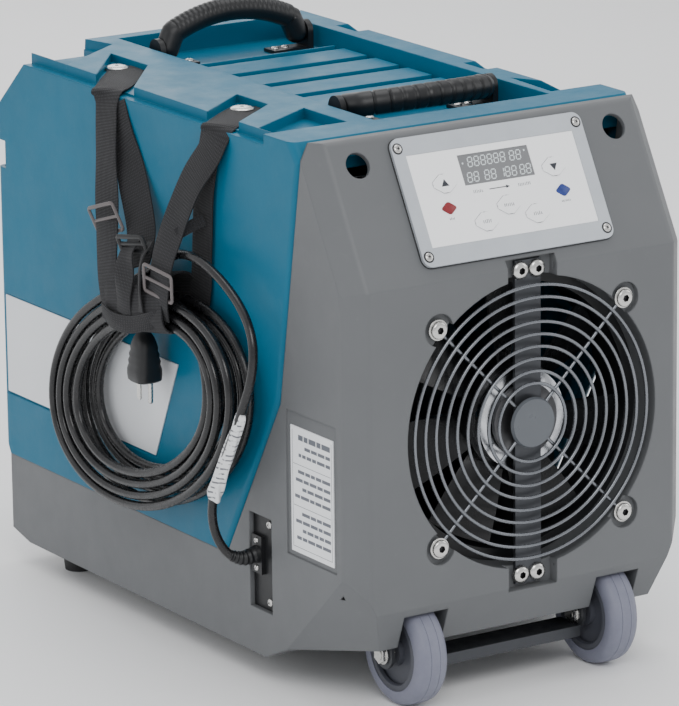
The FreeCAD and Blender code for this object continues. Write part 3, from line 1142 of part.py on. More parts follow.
front_shell()
upper_housing()
control_panel()
guard()
fan()
front_wheels()
handles()
side_plates()
cord_inlet()
inside()
straps()
cord()

doc.recompute()
faults = [item.Name for item in doc.Objects if "Invalid" in item.State or "Error" in item.State]
for item in NODES:
    if item.Shape.isNull() or not item.Shape.isValid():
        faults.append(item.Label)
if faults:
    raise RuntimeError("these are not sound: " + ", ".join(faults))
os.makedirs("parts", exist_ok=True)
for item in NODES:
    item.Shape.exportStep(f"parts/{item.Label}.step")
    print(item.Label, len(item.Shape.Solids), round(item.Shape.Volume / 1000, 1))
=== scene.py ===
import math
import random

import bmesh
import bpy
from mathutils import Matrix, Vector


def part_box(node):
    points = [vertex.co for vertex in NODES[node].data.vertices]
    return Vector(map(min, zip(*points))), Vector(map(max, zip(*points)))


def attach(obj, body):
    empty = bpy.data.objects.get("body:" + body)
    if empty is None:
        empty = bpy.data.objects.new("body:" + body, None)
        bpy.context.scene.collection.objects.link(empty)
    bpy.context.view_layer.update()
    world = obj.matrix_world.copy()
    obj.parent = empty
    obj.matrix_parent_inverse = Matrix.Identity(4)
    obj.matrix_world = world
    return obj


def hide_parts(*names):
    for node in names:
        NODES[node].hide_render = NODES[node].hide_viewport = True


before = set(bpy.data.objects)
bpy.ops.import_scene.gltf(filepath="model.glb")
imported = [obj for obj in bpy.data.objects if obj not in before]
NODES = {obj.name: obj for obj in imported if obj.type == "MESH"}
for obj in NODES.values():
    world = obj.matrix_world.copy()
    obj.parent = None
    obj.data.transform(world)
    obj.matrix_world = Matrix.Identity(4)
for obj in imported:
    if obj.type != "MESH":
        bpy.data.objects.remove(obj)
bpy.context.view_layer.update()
ROOT = "housing"
MM = 0.001


# ---------------- materials

def linear(rgb):
    """Display values 0 to 255 as scene-linear colour."""
    shares = [value / 255 for value in rgb]
    return (*(v / 12.92 if v <= 0.04045 else ((v + 0.055) / 1.055) ** 2.4 for v in shares), 1.0)


class Nodes:
    """A short way to write a material's nodes."""

    def __init__(self, name):
        self.material = bpy.data.materials.new(name)
        self.material.use_nodes = True
        self.tree = self.material.node_tree
        self.shader = self.tree.nodes["Principled BSDF"]
        self.coords = self.add("ShaderNodeTexCoord")

    def add(self, kind, **settings):
        node = self.tree.nodes.new(kind)
        for key, value in settings.items():
            setattr(node, key, value)
        return node

    def link(self, a, b):
        self.tree.links.new(a, b)

    def noise(self, scale, detail=3.0, rough=0.5, stretch=None):
        node = self.add("ShaderNodeTexNoise")
        node.inputs["Scale"].default_value = scale
        node.inputs["Detail"].default_value = detail
        node.inputs["Roughness"].default_value = rough
        out = self.coords.outputs["Object"]
        if stretch:
            mapping = self.add("ShaderNodeMapping")
            mapping.inputs["Scale"].default_value = stretch
            self.link(out, mapping.inputs["Vector"])
            out = mapping.outputs["Vector"]
        self.link(out, node.inputs["Vector"])
        return node.outputs["Fac"]

    def ramp(self, factor, stops):
        node = self.add("ShaderNodeValToRGB")
        ramp = node.color_ramp
        while len(ramp.elements) < len(stops):
            ramp.elements.new(0.5)
        for element, (position, colour) in zip(ramp.elements, stops):
            element.position = position
            element.color = colour if len(colour) == 4 else (*colour, 1)
        self.link(factor, node.inputs["Fac"])
        return node.outputs["Color"]

    def range(self, factor, low, high, start=0.3, end=0.7):
        node = self.add("ShaderNodeMapRange")
        node.inputs["From Min"].default_value = start
        node.inputs["From Max"].default_value = end
        node.inputs["To Min"].default_value = low
        node.inputs["To Max"].default_value = high
        self.link(factor, node.inputs["Value"])
        return node.outputs["Result"]

    def bump(self, height, distance, strength=1.0, under=None):
        node = self.add("ShaderNodeBump")
        node.inputs["Distance"].default_value = distance
        node.inputs["Strength"].default_value = strength
        self.link(height, node.inputs["Height"])
        if under is not None:
            self.link(under, node.inputs["Normal"])
        return node.outputs["Normal"]

    def paint(self, colour, rough, normal, **fixed):
        """Link the three sockets that vary, set the rest and return the material."""
        for name, source in (("Base Color", colour), ("Roughness", rough), ("Normal", normal)):
            self.link(source, self.shader.inputs[name])
        for name, value in fixed.items():
            self.shader.inputs[name.replace("_", " ")].default_value = value
        return self.material


def tint(colour, factor):
    """The colour brighter or darker by a factor."""
    return tuple(min(1.0, c * factor) for c in colour[:3]) + (1.0,)


def moulded(name, rgb, rough=0.45, grain=1400, depth=0.00006, cloud=7, spread=0.06, wear=0.0,
            ior=1.46, edge=0.0, shine=0.5):
    """Moulded plastic: cloudy colour, fine grain, slightly uneven gloss, edges rounded in the shading."""
    m = Nodes(name)
    base = linear(rgb)
    colour = m.ramp(m.noise(cloud, 4, 0.6), [(0.3, tint(base, 1 - spread)), (0.7, tint(base, 1 + spread))])
    if wear:
        spots = m.ramp(m.noise(85, 6, 0.75), [(0.60, (0, 0, 0)), (0.74, (wear, wear, wear))])
        mix = m.add("ShaderNodeMix", data_type="RGBA", blend_type="ADD")
        mix.inputs["Factor"].default_value = 1.0
        m.link(colour, mix.inputs["A"])
        m.link(spots, mix.inputs["B"])
        colour = mix.outputs["Result"]
    gloss = m.range(m.noise(38, 4, 0.6), rough - 0.05, rough + 0.07)
    rounded = None
    if edge:
        rounding = m.add("ShaderNodeBevel", samples=4)
        rounding.inputs["Radius"].default_value = edge
        rounded = rounding.outputs["Normal"]
    peel = m.bump(m.noise(90, 2, 0.5), 0.00016, 0.6, rounded)
    fine = m.bump(m.noise(grain, 3, 0.6), depth, 1.0, peel)
    return m.paint(colour, gloss, fine, IOR=ior, Specular_IOR_Level=shine)


def metal(name, rgb, rough=0.3, stretch=(1, 1, 1), scratch=300, depth=0.00001, spread=0.05, level=1.0):
    """Bare or plated metal with faint drawn lines and uneven polish."""
    m = Nodes(name)
    base = linear(rgb)
    lines = m.noise(scratch, 4, 0.65, stretch=stretch)
    colour = m.ramp(m.noise(24, 4, 0.6), [(0.3, tint(base, 1 - spread)), (0.7, tint(base, 1 + spread))])
    gloss = m.range(lines, max(0.04, rough - 0.08), rough + 0.12)
    return m.paint(colour, gloss, m.bump(lines, depth, 0.6), Metallic=level)


def rubber(name, rgb, rough=0.6, grain=1600, depth=0.00008, dust=0.03):
    """Rubber with pale dust in its grain."""
    m = Nodes(name)
    base = linear(rgb)
    dusty = tuple(min(1.0, c + dust) for c in base[:3]) + (1.0,)
    colour = m.ramp(m.noise(55, 5, 0.7), [(0.35, base), (0.75, dusty)])
    gloss = m.range(m.noise(130, 4, 0.6), rough - 0.08, rough + 0.1)
    return m.paint(colour, gloss, m.bump(m.noise(grain, 3, 0.6), depth, 0.8))


def webbing_material(name, rgb):
    """Woven webbing; its UV runs in metres, across in U and along in V."""
    m = Nodes(name)
    base = linear(rgb)

    def wave(scale, direction):
        node = m.add("ShaderNodeTexWave", wave_type="BANDS", bands_direction=direction, wave_profile="SIN")
        node.inputs["Scale"].default_value = scale
        node.inputs["Distortion"].default_value = 0.25
        node.inputs["Detail"].default_value = 1.0
        m.link(m.coords.outputs["UV"], node.inputs["Vector"])
        return node.outputs["Fac"]

    weave = m.add("ShaderNodeMath", operation="MULTIPLY")
    m.link(wave(150, "X"), weave.inputs[0])
    m.link(wave(110, "Y"), weave.inputs[1])
    fuzz = m.noise(900, 4, 0.7)
    # painted shade and highlight: the colour follows the weave's bump, darker in its dips and lighter on
    # its raised threads
    colour = m.ramp(weave.outputs[0], [(0.0, tint(base, 0.5)), (0.35, base), (0.9, tint(base, 1.5))])
    shade = m.add("ShaderNodeMix", data_type="RGBA", blend_type="MULTIPLY")
    shade.inputs["Factor"].default_value = 0.5
    m.link(colour, shade.inputs["A"])
    m.link(m.ramp(m.noise(45, 4, 0.6), [(0.3, (0.6, 0.6, 0.6)), (0.7, (1, 1, 1))]), shade.inputs["B"])
    normal = m.bump(fuzz, 0.00012, 0.5, m.bump(weave.outputs[0], 0.0005, 0.9))
    return m.paint(shade.outputs["Result"], m.range(fuzz, 0.68, 0.9), normal, Sheen_Weight=0.04,
                   Sheen_Roughness=0.5)


ROUNDED = 0.0022
BLUE = moulded("blue_housing", (0, 97, 126), rough=0.42, cloud=5, spread=0.07, wear=0.01, edge=ROUNDED,
               shine=0.3)
GREY = moulded("grey_shell", (98, 100, 102), rough=0.46, cloud=6, spread=0.05, wear=0.01, edge=ROUNDED,
               shine=0.4)
PLATE = metal("panel_plate", (186, 191, 197), rough=0.42, stretch=(1, 30, 30), scratch=40, level=0.35)
MEMBRANE = moulded("membrane_white", (250, 251, 252), rough=0.32, grain=2600, depth=0.00002, spread=0.015)
PRINT = moulded("print_dark", (44, 47, 54), rough=0.5, grain=2600, depth=0.00001, spread=0.05)
LCD = moulded("display_glass", (118, 119, 121), rough=0.16, grain=600, depth=0.000005, spread=0.06, ior=1.5)
DIGIT = moulded("display_digit", (214, 222, 224), rough=0.35, grain=2600, depth=0.00001, spread=0.03)
BLACK = moulded("black_plastic", (23, 24, 26), rough=0.4, grain=1500, depth=0.00005, spread=0.12)
GRIP = moulded("grip_black", (20, 21, 23), rough=0.38, grain=1100, depth=0.00007, spread=0.15)
FAN = moulded("fan_black", (15, 16, 18), rough=0.24, grain=1800, depth=0.00002, spread=0.1)
RUBBER = rubber("black_rubber", (14, 14, 16), rough=0.58)
CORD = rubber("cord_jacket", (17, 17, 19), rough=0.26, grain=700, depth=0.00003, dust=0.006)
TYRE = rubber("tyre_grey", (112, 114, 130), rough=0.5, grain=900, depth=0.00006, dust=0.03)
HUB = moulded("hub_grey", (70, 72, 80), rough=0.42, spread=0.08)
STEEL = metal("screw_steel", (204, 203, 200), rough=0.22, scratch=500)
# the dark colour of the screw sockets is painted shade in the recess, not a different metal
SOCKET_SHADE = metal("screw_socket_painted_shade", (60, 60, 62), rough=0.45, scratch=500)
WIRE = metal("guard_wire", (120, 123, 128), rough=0.26, scratch=700, level=0.85)
BADGE = moulded("badge_grey", (86, 90, 95), rough=0.3, spread=0.05)
BARMETAL = metal("bar_metal", (70, 72, 76), rough=0.38, stretch=(1, 1, 8), scratch=90, level=0.6)
IRON = metal("stator_iron", (96, 96, 98), rough=0.45, scratch=200)
CAN = metal("motor_can", (196, 198, 202), rough=0.2, stretch=(1, 24, 1), scratch=60)
WEB = webbing_material("strap_web", (27, 27, 31))
LABEL = moulded("label_white", (236, 238, 240), rough=0.38, grain=2200, depth=0.00002, spread=0.02)
INK = moulded("label_ink", (96, 100, 108), rough=0.55, grain=2200, depth=0.00001, spread=0.12)
BAND = moulded("side_band", (222, 225, 228), rough=0.42, grain=2200, depth=0.00002, spread=0.025)
SLIDER = moulded("slider_grey", (92, 86, 86), rough=0.35, spread=0.1)
BRASS = metal("brass", (190, 152, 88), rough=0.28)
COPPER = metal("copper", (186, 112, 74), rough=0.3)
SHEET = metal("galvanised_sheet", (160, 163, 166), rough=0.42, scratch=60, spread=0.14)
FINS = metal("fin_stack", (170, 172, 175), rough=0.34, stretch=(60, 1, 1), scratch=14)
PAPER = moulded("wrap_paper", (226, 226, 224), rough=0.5, grain=1200, depth=0.00003, spread=0.03)


def lamp(name, rgb):
    """A tinted lens, darker in patches."""
    m = Nodes(name)
    base = linear(rgb)
    colour = m.ramp(m.noise(260, 3, 0.5), [(0.3, tint(base, 0.75)), (0.7, base)])
    return m.paint(colour, m.range(m.noise(90), 0.15, 0.28), m.bump(m.noise(700), 0.00003, 0.6), IOR=1.5)


LAMP_RED = lamp("lamp_red", (136, 40, 46))
LAMP_BLUE = lamp("lamp_blue", (40, 60, 132))


def pleats():
    """Filter medium in even folds, darker in each fold's valley and lighter on its crest as painted shade
    and light.
    """
    m = Nodes("filter_pleats")
    wave = m.add("ShaderNodeTexWave", wave_type="BANDS", bands_direction="X", wave_profile="TRI")
    wave.inputs["Scale"].default_value = 26
    m.link(m.coords.outputs["Object"], wave.inputs["Vector"])
    # painted shade and light: the colour follows the fold wave, dark in the valleys and pale on the crests
    colour = m.ramp(wave.outputs["Fac"], [(0.0, linear((118, 128, 134))), (1.0, linear((198, 206, 210)))])
    fuzz = m.bump(m.noise(900, 4, 0.7), 0.0003, 0.5, m.bump(wave.outputs["Fac"], 0.004, 0.8))
    return m.paint(colour, m.range(m.noise(300), 0.75, 0.92), fuzz)


PLEATS = pleats()

NODE_LOOKS = {
    BLUE: ["upper_housing"],
    GREY: ["front_shell"],
    PLATE: ["panel_frame"],
    MEMBRANE: ["panel_overlay", "key_up", "key_down", "key_power", "key_purge", "key_timer"],
    RUBBER: ["panel_gasket", "rear_feet"],
    LCD: ["display_module"],
    LAMP_RED: ["status_light_red"],
    LAMP_BLUE: ["status_light_blue"],
    BADGE: ["guard_badge"],
    WIRE: ["fan_guard"],
    STEEL: ["panel_screws", "guard_screws", "bar_screws", "handle_screws", "inlet_screws", "strap_screws",
            "wheel_axles"],
    BARMETAL: ["motor_bar", "wheel_crossbar", "wheel_brackets"],
    IRON: ["motor_stator"],
    CAN: ["rotor_can"],
    BLACK: ["fan_shroud", "handle_feet", "cord_clamp", "inlet_plate", "condensate_pump", "compressor",
            "drain_pan"],
    FAN: ["fan_wheel"],
    TYRE: ["tyre_left", "tyre_right"],
    HUB: ["hub_left", "hub_right"],
    LABEL: ["rating_plate"],
    BAND: ["side_label"],
    FINS: ["condenser_coil", "evaporator_coil"],
    SHEET: ["electrical_box", "filter_channel"],
    COPPER: ["discharge_line"],
    BRASS: ["drain_fitting", "plug_prongs"],
    PLEATS: ["air_filter"],
    GRIP: ["front_handle", "rear_handle"],
    WEB: ["rear_strap", "front_strap"],
    SLIDER: ["strap_sliders"],
    CORD: ["cord_lead", "cord_coil", "cord_plug"],
    PAPER: ["cord_tag"],
    PRINT: ["control_board"],
}
for look, names in NODE_LOOKS.items():
    for name in names:
        NODES[name].data.materials.clear()
        NODES[name].data.materials.append(look)


# ---------------- mesh helpers

def stand(name, data):
    """A new object of the scene that holds the data."""
    item = bpy.data.objects.new(name, data)
    bpy.context.scene.collection.objects.link(item)
    return item


def finished(name, bm, looks, body=ROOT, smooth=True, replaces=()):
    """The mesh as a piece with its materials, its body and the nodes that it stands for."""
    mesh = bpy.data.meshes.new(name)
    bmesh.ops.recalc_face_normals(bm, faces=bm.faces)
    bm.to_mesh(mesh)
    bm.free()
    for look in looks if isinstance(looks, list) else [looks]:
        mesh.materials.append(look)
    item = stand(name, mesh)
    if smooth:
        for polygon in mesh.polygons:
            polygon.use_smooth = True
        mesh.set_sharp_from_angle(angle=math.radians(38))
    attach(item, body)
    if replaces:
        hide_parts(*replaces)
    return item


def angles(steps):
    """Evenly spaced angles round a circle."""
    return [2 * math.pi * k / steps for k in range(steps)]


def placed(bm, place, points):
    """Vertices at points given in millimetres in a frame."""
    return [bm.verts.new(place @ (Vector(point) * MM)) for point in points]


def skin(bm, rings, look=0):
    """Faces between each ring of vertices and the next; a pole is one vertex repeated."""
    for a, b in zip(rings, rings[1:]):
        for k in range(len(a)):
            j = (k + 1) % len(a)
            corners = list(dict.fromkeys((a[k], a[j], b[j], b[k])))
            bm.faces.new(corners).material_index = look


def capped(bm, rings):
    """A skin closed at both ends."""
    skin(bm, rings)
    bm.faces.new(rings[0][::-1])
    bm.faces.new(rings[-1])


def lathe(bm, profile, place, steps=48):
    """A skin through (radius, height) points in millimetres, turned about Z and placed."""
    rings = []
    for radius, height in profile:
        if radius:
            rings.append(placed(bm, place, [(radius * math.cos(a), radius * math.sin(a), height)
                                            for a in angles(steps)]))
        else:
            rings.append(placed(bm, place, [(0, 0, height)]) * steps)
    skin(bm, rings)
    return rings


def prism(bm, outline, low, high, place):
    """A flat outline in millimetres raised from low to high along Z, then placed."""
    capped(bm, [placed(bm, place, [(x, y, z) for x, y in outline]) for z in (low, high)])


def oblong(x0, y0, x1, y1):
    """The four corners of a rectangle."""
    return [(x0, y0), (x1, y0), (x1, y1), (x0, y1)]


def box_of(points):
    """Lowest and highest corner of some points."""
    return tuple(Vector([pick(p[k] for p in points) for k in range(3)]) for pick in (min, max))


def turned(origin, normal, spin=0.0):
    """A frame at origin whose Z is normal."""
    rotation = Vector(normal).to_track_quat("Z", "Y").to_matrix().to_4x4()
    return Matrix.Translation(Vector(origin)) @ rotation @ Matrix.Rotation(spin, 4, "Z")


def smooth_path(points, steps=8):
    """Catmull-Rom through points, with steps between each pair."""
    out = []
    ends = [points[0] * 2 - points[1], *points, points[-1] * 2 - points[-2]]
    for a, b, c, d in zip(ends, ends[1:], ends[2:], ends[3:]):
        for i in range(steps):
            t = i / steps
            out.append(0.5 * ((2 * b) + (c - a) * t + (2 * a - 5 * b + 4 * c - d) * t * t
                              + (3 * b - 3 * c + d - a) * t ** 3))
    out.append(points[-1].copy())
    return out


HALF_DEPTH = 315


def spot(x, y, z):
    """A place from millimetres across, back from the front face and up."""
    return Vector((x, y - HALF_DEPTH, z)) * MM


# ---------------- camera and light

TARGET = Vector((0, -0.115, 0.225))
AZIMUTH, ELEVATION, ROLL, DISTANCE = math.radians(-33.3), math.radians(15.5), math.radians(-0.5), 4.7906

camera_data = bpy.data.cameras.new("camera")
camera = stand("camera", camera_data)
toward = Vector((math.sin(AZIMUTH) * math.cos(ELEVATION), -math.cos(AZIMUTH) * math.cos(ELEVATION),
                 math.sin(ELEVATION)))
camera.location = TARGET + toward * DISTANCE
camera.rotation_mode = "QUATERNION"
camera.rotation_quaternion = ((-toward).to_track_quat("-Z", "Y")
                              @ Matrix.Rotation(ROLL, 4, "Z").to_quaternion())
camera_data.sensor_width = 36
camera_data.lens = 263.269
camera_data.shift_x, camera_data.shift_y = -0.087677, 0.072805
camera_data.clip_end = 50
bpy.context.scene.camera = camera

# name, place, aim, size and power
LIGHTS = [
    ("key", (-1.2, -2.6, 2.4), (0, 0, 0.25), (1.5, 1.5), 38),
    ("top", (0.2, 0.3, 2.6), (0, 0, 0.3), (1.8, 1.8), 24),
    ("side", (-2.8, 0.6, 1.2), (0, 0, 0.25), (1.6, 1.6), 9),
    ("right", (2.4, -1.4, 1.4), (0, 0, 0.25), (1.4, 1.4), 10),
    ("back", (0.8, 3.0, 1.6), (0, 0, 0.3), (2.0, 1.6), 16),
]
for name, place, aim, size, power in LIGHTS:
    light = bpy.data.lights.new(name, "AREA")
    light.shape = "RECTANGLE"
    light.size, light.size_y = size
    light.energy = power
    lamp_stand = stand(name, light)
    lamp_stand.location = place
    lamp_stand.rotation_mode = "QUATERNION"
    lamp_stand.rotation_quaternion = (Vector(aim) - Vector(place)).to_track_quat("-Z", "Y")

world = bpy.data.worlds.new("studio")
bpy.context.scene.world = world
world.use_nodes = True
sky = world.node_tree.nodes["Background"]
sky.inputs["Color"].default_value = (0.93, 0.94, 0.96, 1)
sky.inputs["Strength"].default_value = 0.95

FLOOR_REACH = 9.0
floor_mesh = bpy.data.meshes.new("floor")
floor_mesh.from_pydata([(x * FLOOR_REACH, y * FLOOR_REACH, 0) for x, y in oblong(-1, -1, 1, 1)],
                       [], [(0, 1, 2, 3)])
floor_mesh.materials.append(moulded("floor_pale", (252, 252, 252), rough=0.7, grain=200, depth=0.00001,
                                    cloud=2, spread=0.01))
stand("floor", floor_mesh)


# ---------------- the cord

ROUTE = [
    (-184, -150, 121), (-196, -149, 119), (-207, -145, 122), (-214, -139, 133),
    (-218, -134, 149), (-219, -134, 171), (-219, -146, 199), (-219, -170, 237),
    (-218, -190, 274), (-215, -202, 305), (-212, -200, 336), (-210, -179, 361),
    (-209, -141, 381), (-208, -98, 392), (-206, -58, 388), (-205, -31, 371),
]
COIL_Y, COIL_Z, COIL_TILT = -2, 240, math.radians(-19)
PER_TURN = 18
# shares of a turn: where the first turn starts, where each moves over to the next, where the last stops
FIRST_SHARE, MOVE_SHARE, LAST_SHARE = 0.04, 0.74, 0.79
BULGE = 1.01
# (half length, half height, shift along the tilt, shift up) of each turn, outer to inner in each layer
FRONT_LAYER = [(167.5, 101.5, 0, 0), (150, 91.3, 3.5, 0), (137, 81, 2, 0.5), (123, 70.8, -1, 0.5)]
BACK_LAYER = [(164, 100.5, -3, 0), (148, 89.8, -6, 0.5), (132, 79.5, -7, 0), (117, 69.3, -3, 0)]
FRONT_X, BACK_X, MIDDLE_X = -214.6, -194.4, -204.5


def on_turn(shape, x, angle):
    """A point of a turn; the angle is 90 degrees at the top and falls towards the rear."""
    a, b, along, up = shape
    u, v = a * math.cos(angle) * BULGE + along, b * math.sin(angle) * BULGE + up
    c, s = math.cos(COIL_TILT), math.sin(COIL_TILT)
    return (x, COIL_Y + u * c - v * s, COIL_Z + u * s + v * c)


def mixed(p, q, t):
    """A point between two others."""
    return tuple(a * (1 - t) + b * t for a, b in zip(p, q))


def eased(t):
    """A smooth step from 0 to 1."""
    t = min(1.0, max(0.0, t))
    return t * t * (3 - 2 * t)


def coil_points():
    """The points of all turns, the front layer from outside in and then the back layer."""
    shapes = [(s, FRONT_X) for s in FRONT_LAYER] + [(s, BACK_X) for s in BACK_LAYER]
    points, rng = [], random.Random(5)
    for k, (shape, x) in enumerate(shapes):
        follow = shapes[k + 1] if k + 1 < len(shapes) else None
        phase, lift = rng.uniform(0, 6.28), rng.uniform(0.5, 1.1)
        for i in range(PER_TURN):
            share = i / PER_TURN
            if k == 0 and share < FIRST_SHARE:
                continue
            if follow is None and share > LAST_SHARE:
                break
            angle = math.pi / 2 - 2 * math.pi * share
            point = on_turn(shape, x + lift * math.sin(2 * angle + phase), angle)
            if follow is not None and share > MOVE_SHARE:
                t = (share - MOVE_SHARE) / (1 - MOVE_SHARE)
                other = on_turn(follow[0], follow[1], angle)
                if follow[1] == x:
                    point = mixed(point, other, eased(t))
                else:
                    # to the other layer: into the middle plane, then to the new size, then its plane
                    near, far, beyond = eased(t * 2.4), eased((t - 0.45) / 0.5), eased((t - 0.72) / 0.28)
                    middle = x + (MIDDLE_X - x) * near + (follow[1] - MIDDLE_X) * beyond
                    point = (middle, *mixed(point, other, far)[1:])
            points.append(point)
    return points


TAIL = [(-200, -95, 318), (-204, -73, 334), (-204.5, -50, 340.5), (-204.5, -30, 340),
        (-204.5, -12, 335), (-204.5, 1, 322), (-204, 5.8, 306), (-204, 6, 290)]
cord_line = ROUTE + coil_points() + TAIL
curve = bpy.data.curves.new("mains_cord", "CURVE")
curve.dimensions = "3D"
curve.resolution_u = 6
spline = curve.splines.new("NURBS")
spline.points.add(len(cord_line) - 1)
for point, where in zip(spline.points, cord_line):
    point.co = (where[0] * MM, where[1] * MM, where[2] * MM, 1)
spline.order_u = 3
spline.use_endpoint_u = True
curve.bevel_depth = 0.00425
curve.bevel_resolution = 5
curve.use_fill_caps = True
curve.materials.append(CORD)
mains_cord = stand("mains_cord", curve)
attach(mains_cord, ROOT)
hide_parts("cord_lead", "cord_coil")


# ---------------- places read from the design

# the tilted panel face: X across, Y up the slope, Z out of it, from its foot on the front
FACE_LEAN, FACE_FOOT = math.radians(29), 396
FACE_SIN, FACE_COS = math.sin(FACE_LEAN), math.cos(FACE_LEAN)
FACE = Matrix(((1, 0, 0, 0), (0, FACE_SIN, -FACE_COS, -HALF_DEPTH * MM),
               (0, FACE_COS, FACE_SIN, FACE_FOOT * MM), (0, 0, 0, 1)))
WORLD = Matrix.Identity(4)


def face_box(name):
    """A node's box in the tilted face's frame, in millimetres."""
    back = FACE.inverted()
    return box_of([back @ v.co / MM for v in NODES[name].data.vertices])


def islands(name, view=WORLD):
    """Lowest and highest corner of each separate solid of a CAD node, in the frame given."""
    back = view.inverted()
    mesh = NODES[name].data
    spots = {}
    keys = [spots.setdefault(tuple(round(c, 6) for c in v.co), len(spots)) for v in mesh.vertices]
    parent = list(range(len(spots)))

    def root(i):
        while parent[i] != i:
            parent[i] = parent[parent[i]]
            i = parent[i]
        return i

    for edge in mesh.edges:
        parent[root(keys[edge.vertices[0]])] = root(keys[edge.vertices[1]])
    groups = {}
    for vertex, key in zip(mesh.vertices, keys):
        groups.setdefault(root(key), []).append(back @ vertex.co)
    return sorted((box_of(group) for group in groups.values()), key=lambda pair: tuple(pair[0]))


# ---------------- fasteners

def socket_reach(kind, size, angle):
    """The outline of a socket: a hexagon of that half width, or a cross of that reach."""
    if kind == "hex":
        return size / math.cos((angle % (math.pi / 3)) - math.pi / 6)
    off = abs(math.sin(((angle + math.pi / 4) % (math.pi / 2)) - math.pi / 4))
    arm = size * 0.26
    return size if off * size < arm else arm / off


def fastener(bm, place, profile, kind, size, depth, steps=48):
    """A head of that profile with a socket sunk into its top, the socket darkened with painted shade."""
    rings = lathe(bm, profile, place, steps)
    top = profile[-1][1]
    rim, deep = ([(share * socket_reach(kind, size, a) * math.cos(a),
                   share * socket_reach(kind, size, a) * math.sin(a), height) for a in angles(steps)]
                 for share, height in ((1, top), (0.9, top - depth)))
    rim, deep = placed(bm, place, rim), placed(bm, place, deep)
    skin(bm, [rings[-1], rim])
    # the socket's walls and floor take the second material, a dark painted shade
    skin(bm, [rim, deep], look=1)
    bm.faces.new(deep).material_index = 1


# (radius, height) as shares of a head's radius
PAN_HEAD = [(1, 0), (1, 0.28), (0.93, 0.5), (0.78, 0.72), (0.55, 0.86), (0.44, 0.88)]
FLANGE_HEAD = [(1, 0), (1, 0.10), (0.965, 0.14), (0.85, 0.15), (0.83, 0.30), (0.78, 0.41), (0.66, 0.48),
               (0.50, 0.50), (0.44, 0.50)]
LOW_HEAD = [(1, 0), (1, 0.05), (0.93, 0.13), (0.70, 0.19), (0.42, 0.21)]


def fasteners(name, axis, sign, shape, height, kind, socket, depth, view=WORLD):
    """A head with its socket for each screw of a node; the head's base is height below its top."""
    bm = bmesh.new()
    across = 1 if axis == 0 else 0
    for low, high in islands(name, view):
        radius = (high[across] - low[across]) / 2 / MM
        centre = (low + high) / 2
        centre[axis] = high[axis] - height * MM if sign > 0 else low[axis] + height * MM
        normal = Vector((0, 0, 0))
        normal[axis] = sign
        profile = [(r * radius, h * height / shape[-1][1]) for r, h in shape]
        fastener(bm, view @ turned(centre, normal, 0.35 + 7 * centre.x), profile, kind, socket * radius,
                 depth * radius)
    # the second material paints shade into the sockets
    return finished(name.replace("screws", "screw_heads"), bm, [STEEL, SOCKET_SHADE],
                    replaces=[name])


PANEL_HEAD = 1.6
fasteners("guard_screws", 1, -1, FLANGE_HEAD, 4.9, "hex", 0.31, 0.26)
fasteners("bar_screws", 1, -1, PAN_HEAD, 4.4, "hex", 0.36, 0.4)
fasteners("strap_screws", 2, 1, LOW_HEAD, 2.4, "hex", 0.17, 0.14)
fasteners("handle_screws", 2, 1, PAN_HEAD, 2.2, "cross", 0.36, 0.3)
fasteners("panel_screws", 2, 1, PAN_HEAD, PANEL_HEAD, "cross", 0.40, 0.26, view=FACE)
bm = bmesh.new()
for low, high in islands("panel_screws", FACE):
    centre = (low + high) / 2
    centre.z = high.z - PANEL_HEAD * MM
    lathe(bm, [(3.6, -0.05), (3.6, 0.42), (4.4, 0.5), (5.1, 0.32), (5.3, -0.05)],
          FACE @ Matrix.Translation(centre), 40)
finished("panel_screw_cups", bm, RUBBER)
fasteners("inlet_screws", 0, -1, PAN_HEAD, 1.8, "cross", 0.38, 0.3)


# ---------------- panel: print, digits and lamp rims

SINK, INK_RISE = 0.02, 0.06


def printed(bm, outline, level, rise=0.08):
    """A thin raised print on a surface at that level of the tilted face."""
    prism(bm, outline, level - SINK, level + rise, FACE)


def rounded_lozenge(x, y, width, height, steps=5):
    """A lozenge whose four corners are arcs."""
    tips = [(0.5, 0), (0, 0.5), (-0.5, 0), (0, -0.5)]
    points = []
    for k, tip in enumerate(tips):
        before, after = tips[k - 1], tips[(k + 1) % 4]
        a = tuple(t + (b - t) * 0.26 for t, b in zip(tip, before))
        b = tuple(t + (c - t) * 0.26 for t, c in zip(tip, after))
        for i in range(steps + 1):
            t = i / steps
            points.append((x + width * ((1 - t) ** 2 * a[0] + 2 * t * (1 - t) * tip[0] + t * t * b[0]),
                           y + height * ((1 - t) ** 2 * a[1] + 2 * t * (1 - t) * tip[1] + t * t * b[1])))
    return points


def line_round(bm, x, y, width, height, thick, low, high):
    """A raised line of even thickness round a lozenge."""
    outer = rounded_lozenge(x, y, width, height)
    inner = rounded_lozenge(x, y, width - 2.4 * thick, height - 2.2 * thick)
    rings = [placed(bm, FACE, [(px, py, level) for px, py in outline])
             for outline, level in ((outer, low), (outer, high), (inner, high), (inner, low))]
    skin(bm, rings + rings[:1])


def marks(bm, x, y, count, wide, tall, gap, level, seed):
    """A row of small upright strokes, like a worn caption without any letters."""
    rng = random.Random(seed)
    at = x - (count * (wide + gap) - gap) / 2
    foot = y - tall / 2
    for _ in range(count):
        top = foot + tall * rng.uniform(0.72, 1.0)
        printed(bm, [(at, foot), (at + wide, foot), (at + wide + 0.12, top), (at + 0.12, top)], level,
                INK_RISE)
        if rng.random() < 0.6:
            middle = foot + (top - foot) * rng.choice((0.08, 0.5, 0.86))
            printed(bm, oblong(at, middle, at + wide + gap * 0.7, middle + 0.28), level, INK_RISE)
        at += wide + gap


